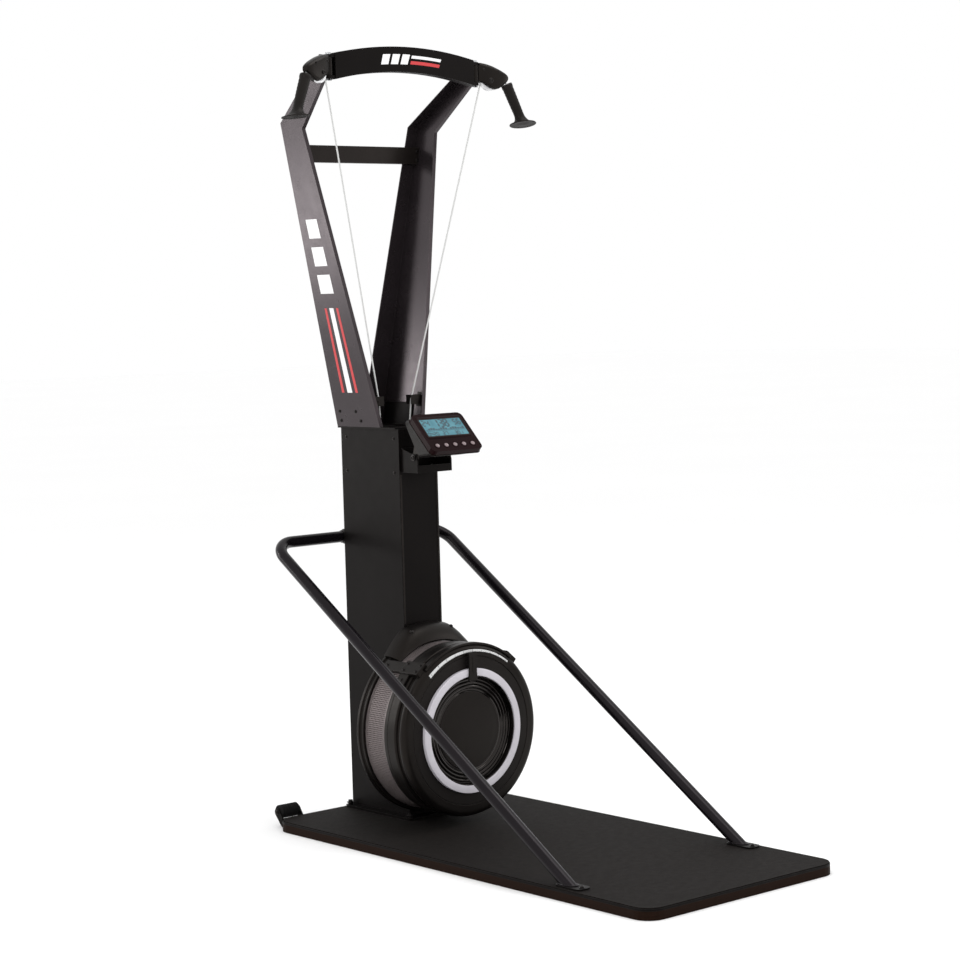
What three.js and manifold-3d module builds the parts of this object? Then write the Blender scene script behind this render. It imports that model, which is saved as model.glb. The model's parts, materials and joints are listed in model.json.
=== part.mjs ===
// Ski trainer machine: a standing platform, a hollow column, two splayed arms with a curved top
// beam, swivelling pulley heads with pull handles, a handrail, a console and an air flywheel.
// Millimetres, +Z up. The user stands on the platform on the -Y side and faces +Y.
// The origin is on the floor, in the middle of the platform's underside.

import * as THREE from "three";
import { mergeVertices } from "three/addons/utils/BufferGeometryUtils.js";
import Module from "manifold-3d";

const wasm = await Module();
wasm.setup();

// Shared clearances
const seatGap = 0.3;
const runningGap = 0.6;
const cutOverrun = 4;
const weldDistance = 0.001;

// Platform
const platformWidth = 666;
const platformLength = 1467;
const platformCornerRadius = 50;
const boardThickness = 27;
const matThickness = 3;
const matInset = 2;

// Column and its foot
const columnWidth = 136;
const columnDepth = 255;
const columnTopHeight = 1105;
const columnRearSetback = 11;
const columnWall = 3;
const rearCoverLip = 14;
const rearCoverWall = 2;
const footPlateThickness = 6;
const footPlateSideMargin = 27;
const footPlateFrontMargin = 34;
const footPlateRearMargin = 6;
const footPlateCornerRadius = 14;
const footBoltRadius = 7;
const footBoltHeight = 6;
const footBoltInset = 13;

// Yoke plate on the column top
const yokeThickness = 4;
const yokeTabHeight = 62;
const yokeTabFrontMargin = 56;
const yokeTabRearMargin = 12;
const yokeWindowWidth = 120;
const yokeWindowLength = 46;

// Arms: folded channels in a plane that leans outward
const armWall = 3;
const armFootSpread = 79.5;
const armElbowSpread = 243;
const armElbowBelowTip = 165;
const armElbowDrop = 21;
const armFootDepth = 190;
const armElbowDepth = 92;
const armFrontFlange = 12;
const armRearFlangeFoot = 74;
const armRearFlangeElbow = 37;
const armTipRearFlange = 36;
const armTipBelowBeamTop = 29;
const armTipDepth = 62;

// Arm crossbar
const crossbarHeight = 47;
const crossbarDepth = 20;
const crossbarWall = 3;
const crossbarBelowElbow = 82;

// Top beam
const beamTopHeight = 2142;
const beamHeight = 68;
const beamRise = 29;
const beamDepth = 28;
const beamWall = 3;
const beamEndClearance = 3;
const beamArcSteps = 16;

// Swivel joint at each beam end
const swivelSpread = 256;
const swivelPinRadius = 5;
const swivelLugRadius = 11;
const swivelLugThickness = 8;
const swivelBelowBeamTop = 62;
const swivelHalfHeight = 32;
const swivelPinHeadRadius = 7.5;
const swivelPinHeadHeight = 5;
const swivelBarrelRadius = 11;

// Pulley heads, along their own outward direction
const headForwardAngle = 15;
const headRootReach = 8;
const headNoseReach = 101;
const headRise = 31;
const headDrop = 43;
const headMouthReach = 95;
const headMouthDrop = 20.5;
const headSlotWidth = 12;
const headSlotReach = 70;
const headAxleRadius = 4;
const headMouthRadius = 5;
const headWidestWidth = 34;
const headCornerRadius = 8;
const pulleyReach = 43;
const pulleyDrop = 19;
const pulleyGrooveRadius = 24;
const pulleyFlangeRadius = 27;
const pulleyWidth = 10;
const pulleyGrooveWidth = 5;
const pulleyRimWidth = 1.5;

// Handles
const handleLength = 127;
const handleLeanAngle = 23.8;
const handleFlangeTiltAngle = 12;
const handleNeckRadius = 12.5;
const handleGripRadius = 11;
const handleWaistRadius = 10;
const handleFlangeRadius = 38;
const handleFlangeThickness = 4;
const handleFlareLength = 30;
const handleNeckLength = 12;
const handleDomeHeight = 3;
const handleCordGap = 8;

// Cords
const cordRadius = 2.2;
const bungeeRadius = 4;
const cordSides = 8;
const cordBendRadius = 10;
const mouthBendRadius = 9;
const cordLeadLength = 8;

// Cord guides on the arms, just above the column
const guideAboveColumn = 75;
const guideSpread = 57;
const guideFlangeClearance = 3.06;
const guideRollerRadius = 8;
const guideRollerLength = 16;
const guideRollerBore = 2.3;
const guidePinRadius = 2;
const guideCheekThickness = 3;
const guideCheekHeight = 26;
const guideBaseHeight = 40;

// Handrail
const railSpread = 300.5;
const railRadius = 16;
const railWall = 2;
const railBendRadius = 66;
const railTopHeight = 795;
const railTopSetback = 24;
const railSlopeAngle = 33;
const railSides = 14;
const railFootThickness = 4;
const railFootWidth = 44;
const railFootLength = 92;
const railFootRearMargin = 30;
const railClampWidth = 100;
const railClampWall = 5;
const railClampBaseHeight = 84;

// Transport wheels
const wheelRadius = 19;
const wheelLength = 64;
const wheelSpread = 272;
const wheelHeight = 43;
const wheelSetback = 24;
const wheelEdgeRound = 4;
const wheelAxleRadius = 5;
const wheelForkWall = 4;
const wheelForkHeight = 24;
const wheelForkBottom = 4;
const wheelEarRadius = 11;
const wheelEarTangentAngle = 40;

// Flywheel unit, measured forward from the column front along its axis
const housingGroundGap = 14;
const panStep = 8;
const panDepth = 24;
const panWall = 3;
const panRimStep = 4;
const panRimDepth = 10;
const panHubRadius = 34;
const panLipInset = 6;
const meshRadius = 232;
const meshThickness = 2;
const meshStart = panDepth + seatGap;
const meshEnd = 108;
const meshSlotCount = 36;
const meshSlotMargin = 8;
const meshSlotGapShare = 0.45;
const drumLipStep = 4;
const drumLipLength = 50;
const drumGrooveInset = 9;
const drumGrooveWidth = 8;
const drumRampLength = 8;
const drumShoulderLength = 20;
const drumShoulderRadius = 14;
const drumWall = 4;
const damperSeatInset = 33;
const damperSeatDepth = 4;
const trimRingInset = 33;
const bowlInset = 21;
const trimRingThickness = 3;
const capRimProud = 6;
const capBowlDepth = 18;
const capDiscInset = 42;
const capDomeHeight = 6;
const capRidgeCount = 3;
const capRidgeHeight = 4;
const capRidgeWidth = 4;
const capWall = 3;
const damperRingThickness = 3;
const damperLeverWidth = 24;
const damperLeverInnerInset = 12;
const damperLeverOuterInset = 20;
const damperLeverThickness = 5;
const scaleInset = 15;
const scaleWidth = 9;
const scaleThickness = 1.5;
const scaleStartAngle = 52;
const scaleEndAngle = 131;
const lugAngle = 41;
const lugHeight = 12;
const lugFaceInset = 10;
const lugWidth = 42;
const lugBridgeWidth = 34;
const lugBridgeHeight = 9;
const sideLugAngle = 50;
const sideLugHeight = 7;
const sideLugLength = 40;
const cowlRise = 50;
const cowlReach = 40;
const cowlWall = 3;
const cowlSpanAngle = 35;
const cowlCrestAngle = 14;
const cowlEndRise = 16;
const cowlEndWallAngle = 1;

// Fan, shaft, bearings and cord drums
const fanClearance = 26;
const fanHubRadius = 30;
const fanDiscThickness = 5;
const fanWidth = 66;
const fanFrontReach = 20;
const fanBladeCount = 24;
const fanBladeThickness = 2.5;
const fanBladeInnerRadius = 96;
const fanRimRadius = 14;
const shaftRadius = 8;
const shaftNoseLength = 22;
const shaftRearReach = 138;
const bearingRadius = 20;
const bearingWidth = 14;
const bearingBracketThickness = 6;
const bearingBracketHeight = 90;
const drumRadius = 40;
const cordDrumFlangeRadius = 46;
const cordDrumWidth = 24;
const cordDrumFlangeWidth = 3;
const cordDrumFrontGap = 50;
const cordDrumSpacing = 36;
const bungeeAnchorDrop = 190;
const bungeeBarRadius = 5;

// Console, tilted about a pin behind it
const consoleWidth = 178;
const consoleFaceHeight = 136;
const consoleFaceAngle = 45;
const consoleFaceForward = 126.5;
const consoleFaceBelowColumnTop = 7;
const consoleCornerRadius = 15;
const consoleFrontDepth = 16;
const consoleWall = 3;
const consoleBackWidth = 150;
const consoleBackTopReach = 88;
const consoleBackBottomReach = 26;
const consoleBackTopDepth = 42;
const consoleBackBottomDepth = 70;
const screenWidth = 136;
const screenHeight = 62;
const screenShift = 17;
const screenThickness = 6;
const screenRecess = 1.5;
const buttonCount = 5;
const buttonSpacing = 31;
const buttonRadius = 7.5;
const buttonThickness = 6;
const buttonProud = 2;
const buttonShift = 47;
const hingeForward = 55;
const hingeBelowColumnTop = 76;
const hingePinRadius = 4;
const hingeLugRadius = 10;
const hingeLugThickness = 6;
const hingeLugRootRise = 62;
const hingeLugRootInset = 8;
const hingeLugRootReach = 30;
const bracketWidth = 122;
const bracketWall = 4;
const bracketBelowColumnTop = 118;
const bracketPlateHeight = 66;
const bracketFloorReach = 70;
const bracketLipHeight = 20;

// Facets
const largeSegments = 36;
const smallSegments = 16;
const tinySegments = 10;

const DEG = Math.PI / 180;
const XAXIS = new THREE.Vector3(1, 0, 0);
const YAXIS = new THREE.Vector3(0, 1, 0);
const ZAXIS = new THREE.Vector3(0, 0, 1);

// Places that several pieces share
const platformTop = boardThickness + matThickness;
const platformRear = platformLength / 2;
const columnRear = platformRear - columnRearSetback;
const columnFront = columnRear - columnDepth;
const columnFoot = platformTop + footPlateThickness + 2 * seatGap;
const yokeTop = columnTopHeight + seatGap + yokeThickness;
const armFoot = yokeTop + seatGap;
const beamRear = columnFront + beamDepth;
const armTipHeight = beamTopHeight - armTipBelowBeamTop;
const armElbowHeight = armTipHeight - armElbowBelowTip;
const crossbarMiddleHeight = armElbowHeight - crossbarBelowElbow;
const swivelDepthPlace = columnFront + beamDepth / 2;
const swivelMiddleHeight = beamTopHeight - swivelBelowBeamTop;
const swivelTopHeight = swivelMiddleHeight + swivelHalfHeight;
const swivelBottomHeight = swivelMiddleHeight - swivelHalfHeight;
const pulleyHeight = swivelMiddleHeight - pulleyDrop;
const headMouthHeight = swivelMiddleHeight - headMouthDrop;
const guideHeight = columnTopHeight + guideAboveColumn;
const guideHalfDepth = guideRollerLength / 2 + runningGap;
const guideDepthPlace = armFrontEdge(guideHeight + guideBaseHeight / 2) + armWall
  + guideFlangeClearance + guideCheekThickness + guideHalfDepth;
const consoleFaceMiddleHeight = columnTopHeight - consoleFaceBelowColumnTop;
const hingeHeight = columnTopHeight - hingeBelowColumnTop;
const bracketBottomHeight = columnTopHeight - bracketBelowColumnTop;
const shaftRear = columnFront + shaftRearReach;

// Rings of the flywheel unit, round its mesh band and clear of the mat
const panRadius = meshRadius + panStep;
const panRimRadius = panRadius + panRimStep;
const panLipRadius = meshRadius - panLipInset;
const drumLipRadius = meshRadius + drumLipStep;
const drumGrooveRadius = drumLipRadius - drumGrooveInset;
const damperSeatRadius = drumLipRadius - damperSeatInset;
const trimRingOuterRadius = damperSeatRadius - trimRingInset;
const bowlRadius = trimRingOuterRadius - bowlInset;
const capDiscRadius = bowlRadius - capDiscInset;
const damperLeverInnerRadius = bowlRadius - damperLeverInnerInset;
const damperLeverOuterRadius = drumLipRadius - damperLeverOuterInset;
const scaleOuterRadius = drumLipRadius - scaleInset;
const scaleInnerRadius = scaleOuterRadius - scaleWidth;
const cowlRadius = meshRadius + cowlRise;
const cowlEndRadius = meshRadius + cowlEndRise;
const fanRadius = meshRadius - fanClearance;
const axisHeight = platformTop + housingGroundGap + panRimRadius;

// Places along the flywheel's axis, forward from the column front
const drumLipEnd = meshEnd + drumLipLength;
const drumGrooveEnd = drumLipEnd + drumGrooveWidth;
const drumShoulderStart = drumGrooveEnd + drumRampLength;
const drumFaceDepth = drumShoulderStart + drumShoulderLength;
const capRimDepth = drumFaceDepth + capRimProud;
const capFloorDepth = capRimDepth - capBowlDepth;
const lugLength = drumFaceDepth - meshEnd - lugFaceInset;
const cowlDepth = panDepth + cowlReach;
const fanEnd = meshEnd + fanFrontReach;
const fanStart = fanEnd - fanWidth;
const shaftFrontReach = fanEnd + shaftNoseLength;

// Cord drums along the shaft
const cordDrumPlaces = { left: columnFront + cordDrumFrontGap };
cordDrumPlaces.right = cordDrumPlaces.left + cordDrumSpacing;

// The handle's axis runs from its neck, under the head's mouth, down and outward
const headMouth = new THREE.Vector3(headMouthReach, 0, headMouthHeight);
const handleHeading = new THREE.Vector3(
  Math.sin(handleLeanAngle * DEG), 0, -Math.cos(handleLeanAngle * DEG));
const handleNeck = headMouth.clone().addScaledVector(handleHeading, handleCordGap);

// Looks by name; every mesh gets a material of its own from them
const looks = {
  powderCoat: { color: 0x1b1a1b, roughness: 0.55, metalness: 0.35 },
  blackPlastic: { color: 0x171717, roughness: 0.5, metalness: 0 },
  glossPlastic: { color: 0x0c0c0d, roughness: 0.12, metalness: 0 },
  rubber: { color: 0x181818, roughness: 0.9, metalness: 0 },
  board: { color: 0x2a1c15, roughness: 0.75, metalness: 0 },
  silver: { color: 0xc9c9c8, roughness: 0.4, metalness: 0.8 },
  whiteRing: { color: 0xe9e8ea, roughness: 0.4, metalness: 0.1 },
  steel: { color: 0x9a9c9f, roughness: 0.35, metalness: 0.9 },
  cord: { color: 0xf2f2f0, roughness: 0.8, metalness: 0 },
  bungee: { color: 0x222222, roughness: 0.85, metalness: 0 },
  screen: { color: 0x8fc3d6, roughness: 0.2, metalness: 0 },
  button: { color: 0xd8d4d6, roughness: 0.4, metalness: 0 },
};

const machine = new THREE.Group();

function place(name, geometry, look, parent = machine) {
  const material = new THREE.MeshStandardMaterial({ ...looks[look], flatShading: true });
  const mesh = new THREE.Mesh(tidy(geometry), material);
  mesh.name = name;
  parent.add(mesh);
  return mesh;
}

// Position only, shared corners merged, no flat triangles, faces turned outward
function tidy(geometry) {
  const plain = new THREE.BufferGeometry();
  plain.setAttribute("position", geometry.getAttribute("position").clone());
  if (geometry.index) {
    plain.setIndex(geometry.index.clone());
  }
  const merged = mergeVertices(plain, weldDistance);
  const index = merged.index.array;
  const kept = [];
  for (let i = 0; i < index.length; i += 3) {
    const [a, b, c] = [index[i], index[i + 1], index[i + 2]];
    if (a !== b && b !== c && c !== a) {
      kept.push([a, b, c]);
    }
  }
  merged.setIndex(kept.flat());
  if (signedVolume(merged) < 0) {
    merged.setIndex(kept.map(([a, b, c]) => [a, c, b]).flat());
  }
  return merged;
}

function signedVolume(geometry) {
  const position = geometry.getAttribute("position");
  const index = geometry.index.array;
  const [a, b, c] = [new THREE.Vector3(), new THREE.Vector3(), new THREE.Vector3()];
  let volume = 0;
  for (let i = 0; i < index.length; i += 3) {
    a.fromBufferAttribute(position, index[i]);
    b.fromBufferAttribute(position, index[i + 1]);
    c.fromBufferAttribute(position, index[i + 2]);
    volume += a.dot(b.cross(c)) / 6;
  }
  return volume;
}

function solid(geometry) {
  const closed = tidy(geometry);
  const vertProperties = new Float32Array(closed.getAttribute("position").array);
  const triVerts = new Uint32Array(closed.index.array);
  return new wasm.Manifold(new wasm.Mesh({ numProp: 3, vertProperties, triVerts }));
}

function geometryOf(manifold) {
  const result = manifold.getMesh();
  const geometry = new THREE.BufferGeometry();
  geometry.setAttribute("position", new THREE.BufferAttribute(result.vertProperties, 3));
  geometry.setIndex(Array.from(result.triVerts));
  return geometry;
}

function join(first, ...others) {
  return geometryOf(others.reduce((sum, next) => sum.add(solid(next)), solid(first)));
}

function cut(first, ...others) {
  return geometryOf(others.reduce((rest, next) => rest.subtract(solid(next)), solid(first)));
}

function mirrored(geometry) {
  return geometry.clone().applyMatrix4(new THREE.Matrix4().makeScale(-1, 1, 1));
}

// Simple solids
function block([x0, x1], [y0, y1], [z0, z1]) {
  const box = new THREE.BoxGeometry(x1 - x0, y1 - y0, z1 - z0);
  return box.translate((x0 + x1) / 2, (y0 + y1) / 2, (z0 + z1) / 2);
}

function rod(radius, from, to, sides = smallSegments) {
  const span = new THREE.Vector3().subVectors(to, from);
  const cylinder = new THREE.CylinderGeometry(radius, radius, span.length(), sides);
  const turn = new THREE.Quaternion().setFromUnitVectors(YAXIS, span.clone().normalize());
  cylinder.applyQuaternion(turn);
  const middle = new THREE.Vector3().addVectors(from, to).multiplyScalar(0.5);
  return cylinder.translate(middle.x, middle.y, middle.z);
}

function vec(x, y, z) {
  return new THREE.Vector3(x, y, z);
}

function shapeOf(points) {
  return new THREE.Shape(points.map(([x, y]) => new THREE.Vector2(x, y)));
}

function roundedRectangle(width, height, radius, steps = 4) {
  const points = [];
  const corners = [[1, 1, 0], [-1, 1, 90], [-1, -1, 180], [1, -1, 270]];
  for (const [sx, sy, start] of corners) {
    for (let i = 0; i <= steps; i += 1) {
      const angle = (start + (90 * i) / steps) * DEG;
      const x = sx * (width / 2 - radius) + radius * Math.cos(angle);
      const y = sy * (height / 2 - radius) + radius * Math.sin(angle);
      points.push([x, y]);
    }
  }
  return points;
}

// Radius of a faceted hole whose flats clear a round of the given radius
function holeRadius(radius, sides = smallSegments) {
  return radius / Math.cos(Math.PI / sides);
}

// Extrusions of an outline drawn as seen along one axis
function plateZ(points, bottom, top) {
  const settings = { depth: top - bottom, bevelEnabled: false, steps: 1 };
  return new THREE.ExtrudeGeometry(shapeOf(points), settings).translate(0, 0, bottom);
}

function plateY(points, near, far) {
  const plate = new THREE.ExtrudeGeometry(shapeOf(points), { depth: far - near, bevelEnabled: false });
  return plate.rotateX(90 * DEG).translate(0, far, 0);
}

function plateX(points, left, right) {
  const plate = new THREE.ExtrudeGeometry(shapeOf(points), { depth: right - left, bevelEnabled: false });
  const turn = new THREE.Matrix4().makeBasis(YAXIS, ZAXIS, XAXIS);
  return plate.applyMatrix4(turn).translate(left, 0, 0);
}

// A closed profile of radius and place turned about the Y axis
function turned(profile, segments = largeSegments) {
  const closed = [...profile, profile[0]];
  return new THREE.LatheGeometry(closed.map(([r, y]) => new THREE.Vector2(r, y)), segments);
}

// Rings of equal count joined by faces, closed with the outline's own triangles
function loft(rings, outline) {
  const count = outline.length;
  const triangles = THREE.ShapeUtils.triangulateShape(
    outline.map(([x, y]) => new THREE.Vector2(x, y)), []);
  const index = [];
  rings.slice(1).forEach((ring, row) => {
    for (let i = 0; i < count; i += 1) {
      const next = (i + 1) % count;
      const [a, b] = [row * count + i, row * count + next];
      index.push(a, b, b + count, a, b + count, a + count);
    }
  });
  const last = (rings.length - 1) * count;
  for (const [a, b, c] of triangles) {
    index.push(a, c, b);
    index.push(last + a, last + b, last + c);
  }
  const geometry = new THREE.BufferGeometry();
  const places = rings.flat().flatMap((point) => [point.x, point.y, point.z]);
  geometry.setAttribute("position", new THREE.Float32BufferAttribute(places, 3));
  geometry.setIndex(index);
  return geometry;
}

// A route of straight runs with rounded corners: every bend has its own steps
class RoundedRoute extends THREE.Curve {
  constructor(corners, radii, bendSteps) {
    super();
    const first = new THREE.Vector3().subVectors(corners[1], corners[0]).normalize();
    this.stops = [{ spot: corners[0], heading: first }];
    for (let i = 1; i < corners.length - 1; i += 1) {
      const radius = radii[i - 1];
      const into = new THREE.Vector3().subVectors(corners[i], corners[i - 1]).normalize();
      const out = new THREE.Vector3().subVectors(corners[i + 1], corners[i]).normalize();
      const bend = into.angleTo(out);
      const inward = out.clone().addScaledVector(into, -into.dot(out)).normalize();
      const start = corners[i].clone().addScaledVector(into, -radius * Math.tan(bend / 2));
      const centre = start.clone().addScaledVector(inward, radius);
      for (let step = 0; step <= bendSteps; step += 1) {
        const angle = (bend * step) / bendSteps;
        const spot = centre.clone().addScaledVector(inward, -radius * Math.cos(angle));
        spot.addScaledVector(into, radius * Math.sin(angle));
        const heading = into.clone().multiplyScalar(Math.cos(angle));
        heading.addScaledVector(inward, Math.sin(angle));
        this.stops.push({ spot, heading });
      }
    }
    const end = corners[corners.length - 1];
    const last = new THREE.Vector3().subVectors(end, corners[corners.length - 2]).normalize();
    this.stops.push({ spot: end, heading: last });
  }

  get steps() {
    return this.stops.length - 1;
  }

  between(t, key) {
    const along = Math.min(Math.max(t, 0), 1) * this.steps;
    const at = Math.min(Math.floor(along), this.steps - 1);
    const mixed = this.stops[at][key].clone();
    return mixed.lerp(this.stops[at + 1][key], along - at);
  }

  getPoint(t) {
    return this.between(t, "spot");
  }

  getPointAt(t) {
    return this.getPoint(t);
  }

  getTangentAt(t) {
    return this.between(t, "heading").normalize();
  }
}

function tube(route, radius, sides) {
  const ring = [];
  for (let i = 0; i < sides; i += 1) {
    const angle = (360 * (i + 0.5) * DEG) / sides;
    ring.push([radius * Math.cos(angle), radius * Math.sin(angle)]);
  }
  const settings = { steps: route.steps, bevelEnabled: false, extrudePath: route };
  return new THREE.ExtrudeGeometry(shapeOf(ring), settings);
}

// Base: board, rubber mat and the foot plate of the column
function buildBase() {
  const outline = roundedRectangle(platformWidth, platformLength, platformCornerRadius, 6);
  place("platform_board", plateZ(outline, 0, boardThickness), "board");
  const mat = roundedRectangle(
    platformWidth - 2 * matInset, platformLength - 2 * matInset,
    platformCornerRadius - matInset, 6);
  place("platform_mat", plateZ(mat, boardThickness + seatGap, platformTop), "rubber");

  const plateFront = columnFront - footPlateFrontMargin;
  const plateRear = columnRear + footPlateRearMargin;
  const width = columnWidth + 2 * footPlateSideMargin;
  const length = plateRear - plateFront;
  const middle = (plateFront + plateRear) / 2;
  const bottom = platformTop + seatGap;
  const top = bottom + footPlateThickness;
  const plate = plateZ(roundedRectangle(width, length, footPlateCornerRadius), bottom, top);
  plate.translate(0, middle, 0);
  const bolts = [];
  for (const side of [-1, 1]) {
    for (const end of [-1, 1]) {
      const x = side * (width / 2 - footBoltInset);
      const y = middle + end * (length / 2 - footBoltInset);
      bolts.push(rod(footBoltRadius, vec(x, y, bottom), vec(x, y, top + footBoltHeight), 6));
    }
  }
  place("column_foot_plate", join(plate, ...bolts), "powderCoat");
}

// Column: a folded channel that is open at the rear, closed by a screwed cover
function buildColumn() {
  const half = columnWidth / 2;
  const inner = half - columnWall;
  const shell = block([-half, half], [columnFront, columnRear], [columnFoot, columnTopHeight]);
  const hollow = block(
    [-inner, inner],
    [columnFront + columnWall, columnRear - columnWall],
    [columnFoot - cutOverrun, columnTopHeight + cutOverrun]);
  const opening = half - rearCoverLip;
  const rearOpening = block(
    [-opening, opening],
    [columnRear - columnWall - cutOverrun, columnRear + cutOverrun],
    [columnFoot - cutOverrun, columnTopHeight + cutOverrun]);
  const shaftHole = rod(
    bearingRadius + seatGap,
    vec(0, columnFront - cutOverrun, axisHeight),
    vec(0, columnFront + columnWall + cutOverrun, axisHeight));
  // Welded plate inside the column that holds the rear bearing
  const bracketFront = shaftRear - bearingWidth;
  const bracket = block(
    [-inner - columnWall / 2, inner + columnWall / 2],
    [bracketFront, bracketFront + bearingBracketThickness],
    [axisHeight - bearingBracketHeight / 2, axisHeight + bearingBracketHeight / 2]);
  const bearingSeat = rod(
    bearingRadius + seatGap,
    vec(0, bracketFront - cutOverrun, axisHeight),
    vec(0, bracketFront + bearingBracketThickness + cutOverrun, axisHeight));
  const open = cut(shell, hollow, rearOpening, shaftHole);
  place("column_shell", join(open, cut(bracket, bearingSeat)), "powderCoat");

  const coverInside = columnRear - columnWall - seatGap - rearCoverWall;
  const cover = block(
    [-inner + seatGap, inner - seatGap],
    [coverInside, coverInside + rearCoverWall],
    [columnFoot, columnTopHeight]);
  place("column_rear_cover", cover, "powderCoat");
}

// Spread of the arm's outer face at a height
function armSpread(height) {
  const lean = (armElbowSpread - armFootSpread) / (armElbowHeight - armFoot);
  return armFootSpread + lean * (height - armFoot);
}

// Depth place of the arm's front edge at a height
function armFrontEdge(height) {
  const share = (height - armFoot) / (armElbowHeight - armElbowDrop - armFoot);
  return columnRear - armFootDepth - (armElbowDepth - armFootDepth) * share;
}

// Yoke: the plate on the column top that carries both arms
function buildYoke() {
  const bottom = columnTopHeight + seatGap;
  const tabInset = armWall + seatGap;
  const outline = [
    [-armFootSpread, bottom],
    [armFootSpread, bottom],
    [armFootSpread, yokeTop],
    [-armFootSpread, yokeTop],
  ];
  const plate = plateY(outline, columnFront, columnRear);
  const windowY = [guideDepthPlace - yokeWindowLength / 2, guideDepthPlace + yokeWindowLength / 2];
  const window = block(
    [-yokeWindowWidth / 2, yokeWindowWidth / 2], windowY,
    [bottom - cutOverrun, yokeTop + cutOverrun]);
  const tabTop = yokeTop + yokeTabHeight;
  const tabFront = columnRear - armFootDepth + yokeTabFrontMargin;
  const tabRear = columnRear - yokeTabRearMargin;
  const tab = [
    [armSpread(bottom) - tabInset - yokeThickness, bottom],
    [armSpread(bottom) - tabInset, bottom],
    [armSpread(tabTop) - tabInset, tabTop],
    [armSpread(tabTop) - tabInset - yokeThickness, tabTop],
  ];
  const right = plateY(tab, tabFront, tabRear);
  const holed = cut(plate, window);
  place("arm_yoke", join(holed, right, mirrored(right)), "powderCoat");
}

// One cross-section of the arm between its front and rear edge points
function armSection(front, rear, frontFlange, rearFlange) {
  const [fy, fz] = front;
  const [ry, rz] = rear;
  const span = Math.hypot(ry - fy, rz - fz);
  const outline = [
    [0, 0],
    [span, 0],
    [span, rearFlange],
    [span - armWall, rearFlange],
    [span - armWall, armWall],
    [armWall, armWall],
    [armWall, frontFlange],
    [0, frontFlange],
  ];
  const ring = outline.map(([along, inward]) => {
    const y = fy + ((ry - fy) * along) / span;
    const z = fz + ((rz - fz) * along) / span;
    return vec(armSpread(z) - inward, y, z);
  });
  return { outline, ring };
}

function buildArms() {
  const foot = armSection(
    [columnRear - armFootDepth, armFoot], [columnRear, armFoot], armFrontFlange, armRearFlangeFoot);
  const elbow = armSection(
    [columnRear - armElbowDepth, armElbowHeight - armElbowDrop], [columnRear, armElbowHeight],
    armFrontFlange, armRearFlangeElbow);
  const tipPlace = beamRear + seatGap;
  const tip = armSection(
    [tipPlace, armTipHeight - armTipDepth], [tipPlace, armTipHeight],
    armFrontFlange, armTipRearFlange);
  const right = loft([foot.ring, elbow.ring, tip.ring], foot.outline);
  place("arm_right", right, "powderCoat");
  place("arm_left", mirrored(right), "powderCoat");

  const bottom = crossbarMiddleHeight - crossbarHeight / 2;
  const top = crossbarMiddleHeight + crossbarHeight / 2;
  const reach = armWall + seatGap;
  const outline = [
    [-armSpread(bottom) + reach, bottom],
    [armSpread(bottom) - reach, bottom],
    [armSpread(top) - reach, top],
    [-armSpread(top) + reach, top],
  ];
  const rear = columnRear - armWall - seatGap;
  const bar = plateY(outline, rear - crossbarDepth, rear);
  const bore = block(
    [-armSpread(top) - cutOverrun, armSpread(top) + cutOverrun],
    [rear - crossbarDepth + crossbarWall, rear - crossbarWall],
    [bottom + crossbarWall, top - crossbarWall]);
  place("arm_crossbar", cut(bar, bore), "powderCoat");
}

// Top beam: a curved box section with a forked lug at each end
function beamArc(radius, centreHeight, reach) {
  const points = [];
  const sweep = Math.asin(reach / radius);
  for (let i = 0; i <= beamArcSteps; i += 1) {
    const angle = -sweep + (2 * sweep * i) / beamArcSteps;
    points.push([radius * Math.sin(angle), centreHeight + radius * Math.cos(angle)]);
  }
  return points;
}

function beamBand(inset, reach, near, far) {
  const outerRadius = (swivelSpread ** 2 + beamRise ** 2) / (2 * beamRise);
  const centre = beamTopHeight - outerRadius;
  const upper = beamArc(outerRadius - inset, centre, reach);
  const lower = beamArc(outerRadius - beamHeight + inset, centre, reach);
  return plateY([...lower, ...upper.reverse()], near, far);
}

function buildTopBeam() {
  const reach = swivelSpread - swivelBarrelRadius - beamEndClearance;
  const body = beamBand(0, reach, columnFront, beamRear);
  const bore = beamBand(
    beamWall, reach + cutOverrun, columnFront + beamWall, beamRear - beamWall);
  const open = cut(body, bore);
  const lugs = [];
  for (const side of [-1, 1]) {
    const lugHeights = [
      [swivelBottomHeight, swivelBottomHeight + swivelLugThickness],
      [swivelTopHeight - swivelLugThickness, swivelTopHeight],
    ];
    for (const [low, high] of lugHeights) {
      const centre = [side * swivelSpread, swivelDepthPlace];
      const root = side * (reach - beamWall);
      const bar = block(
        [Math.min(root, centre[0]), Math.max(root, centre[0])],
        [swivelDepthPlace - swivelLugRadius, swivelDepthPlace + swivelLugRadius], [low, high]);
      const eye = rod(swivelLugRadius, vec(...centre, low), vec(...centre, high));
      const hole = rod(
        swivelPinRadius + seatGap, vec(...centre, low - cutOverrun), vec(...centre, high + cutOverrun));
      lugs.push(cut(join(bar, eye), hole));
    }
  }
  place("top_beam", join(open, ...lugs), "powderCoat");
}

// Swivel pins, with their heads and nuts
function buildSwivelPin(side, name) {
  const x = side * swivelSpread;
  const low = swivelBottomHeight - seatGap;
  const high = swivelTopHeight + seatGap;
  const y = swivelDepthPlace;
  const shank = rod(
    swivelPinRadius, vec(x, y, low - swivelPinHeadHeight), vec(x, y, high + swivelPinHeadHeight));
  const head = rod(swivelPinHeadRadius, vec(x, y, high), vec(x, y, high + swivelPinHeadHeight));
  const nut = rod(swivelPinHeadRadius, vec(x, y, low - swivelPinHeadHeight), vec(x, y, low), 6);
  place(name, join(shank, head, nut), "steel");
}

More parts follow.
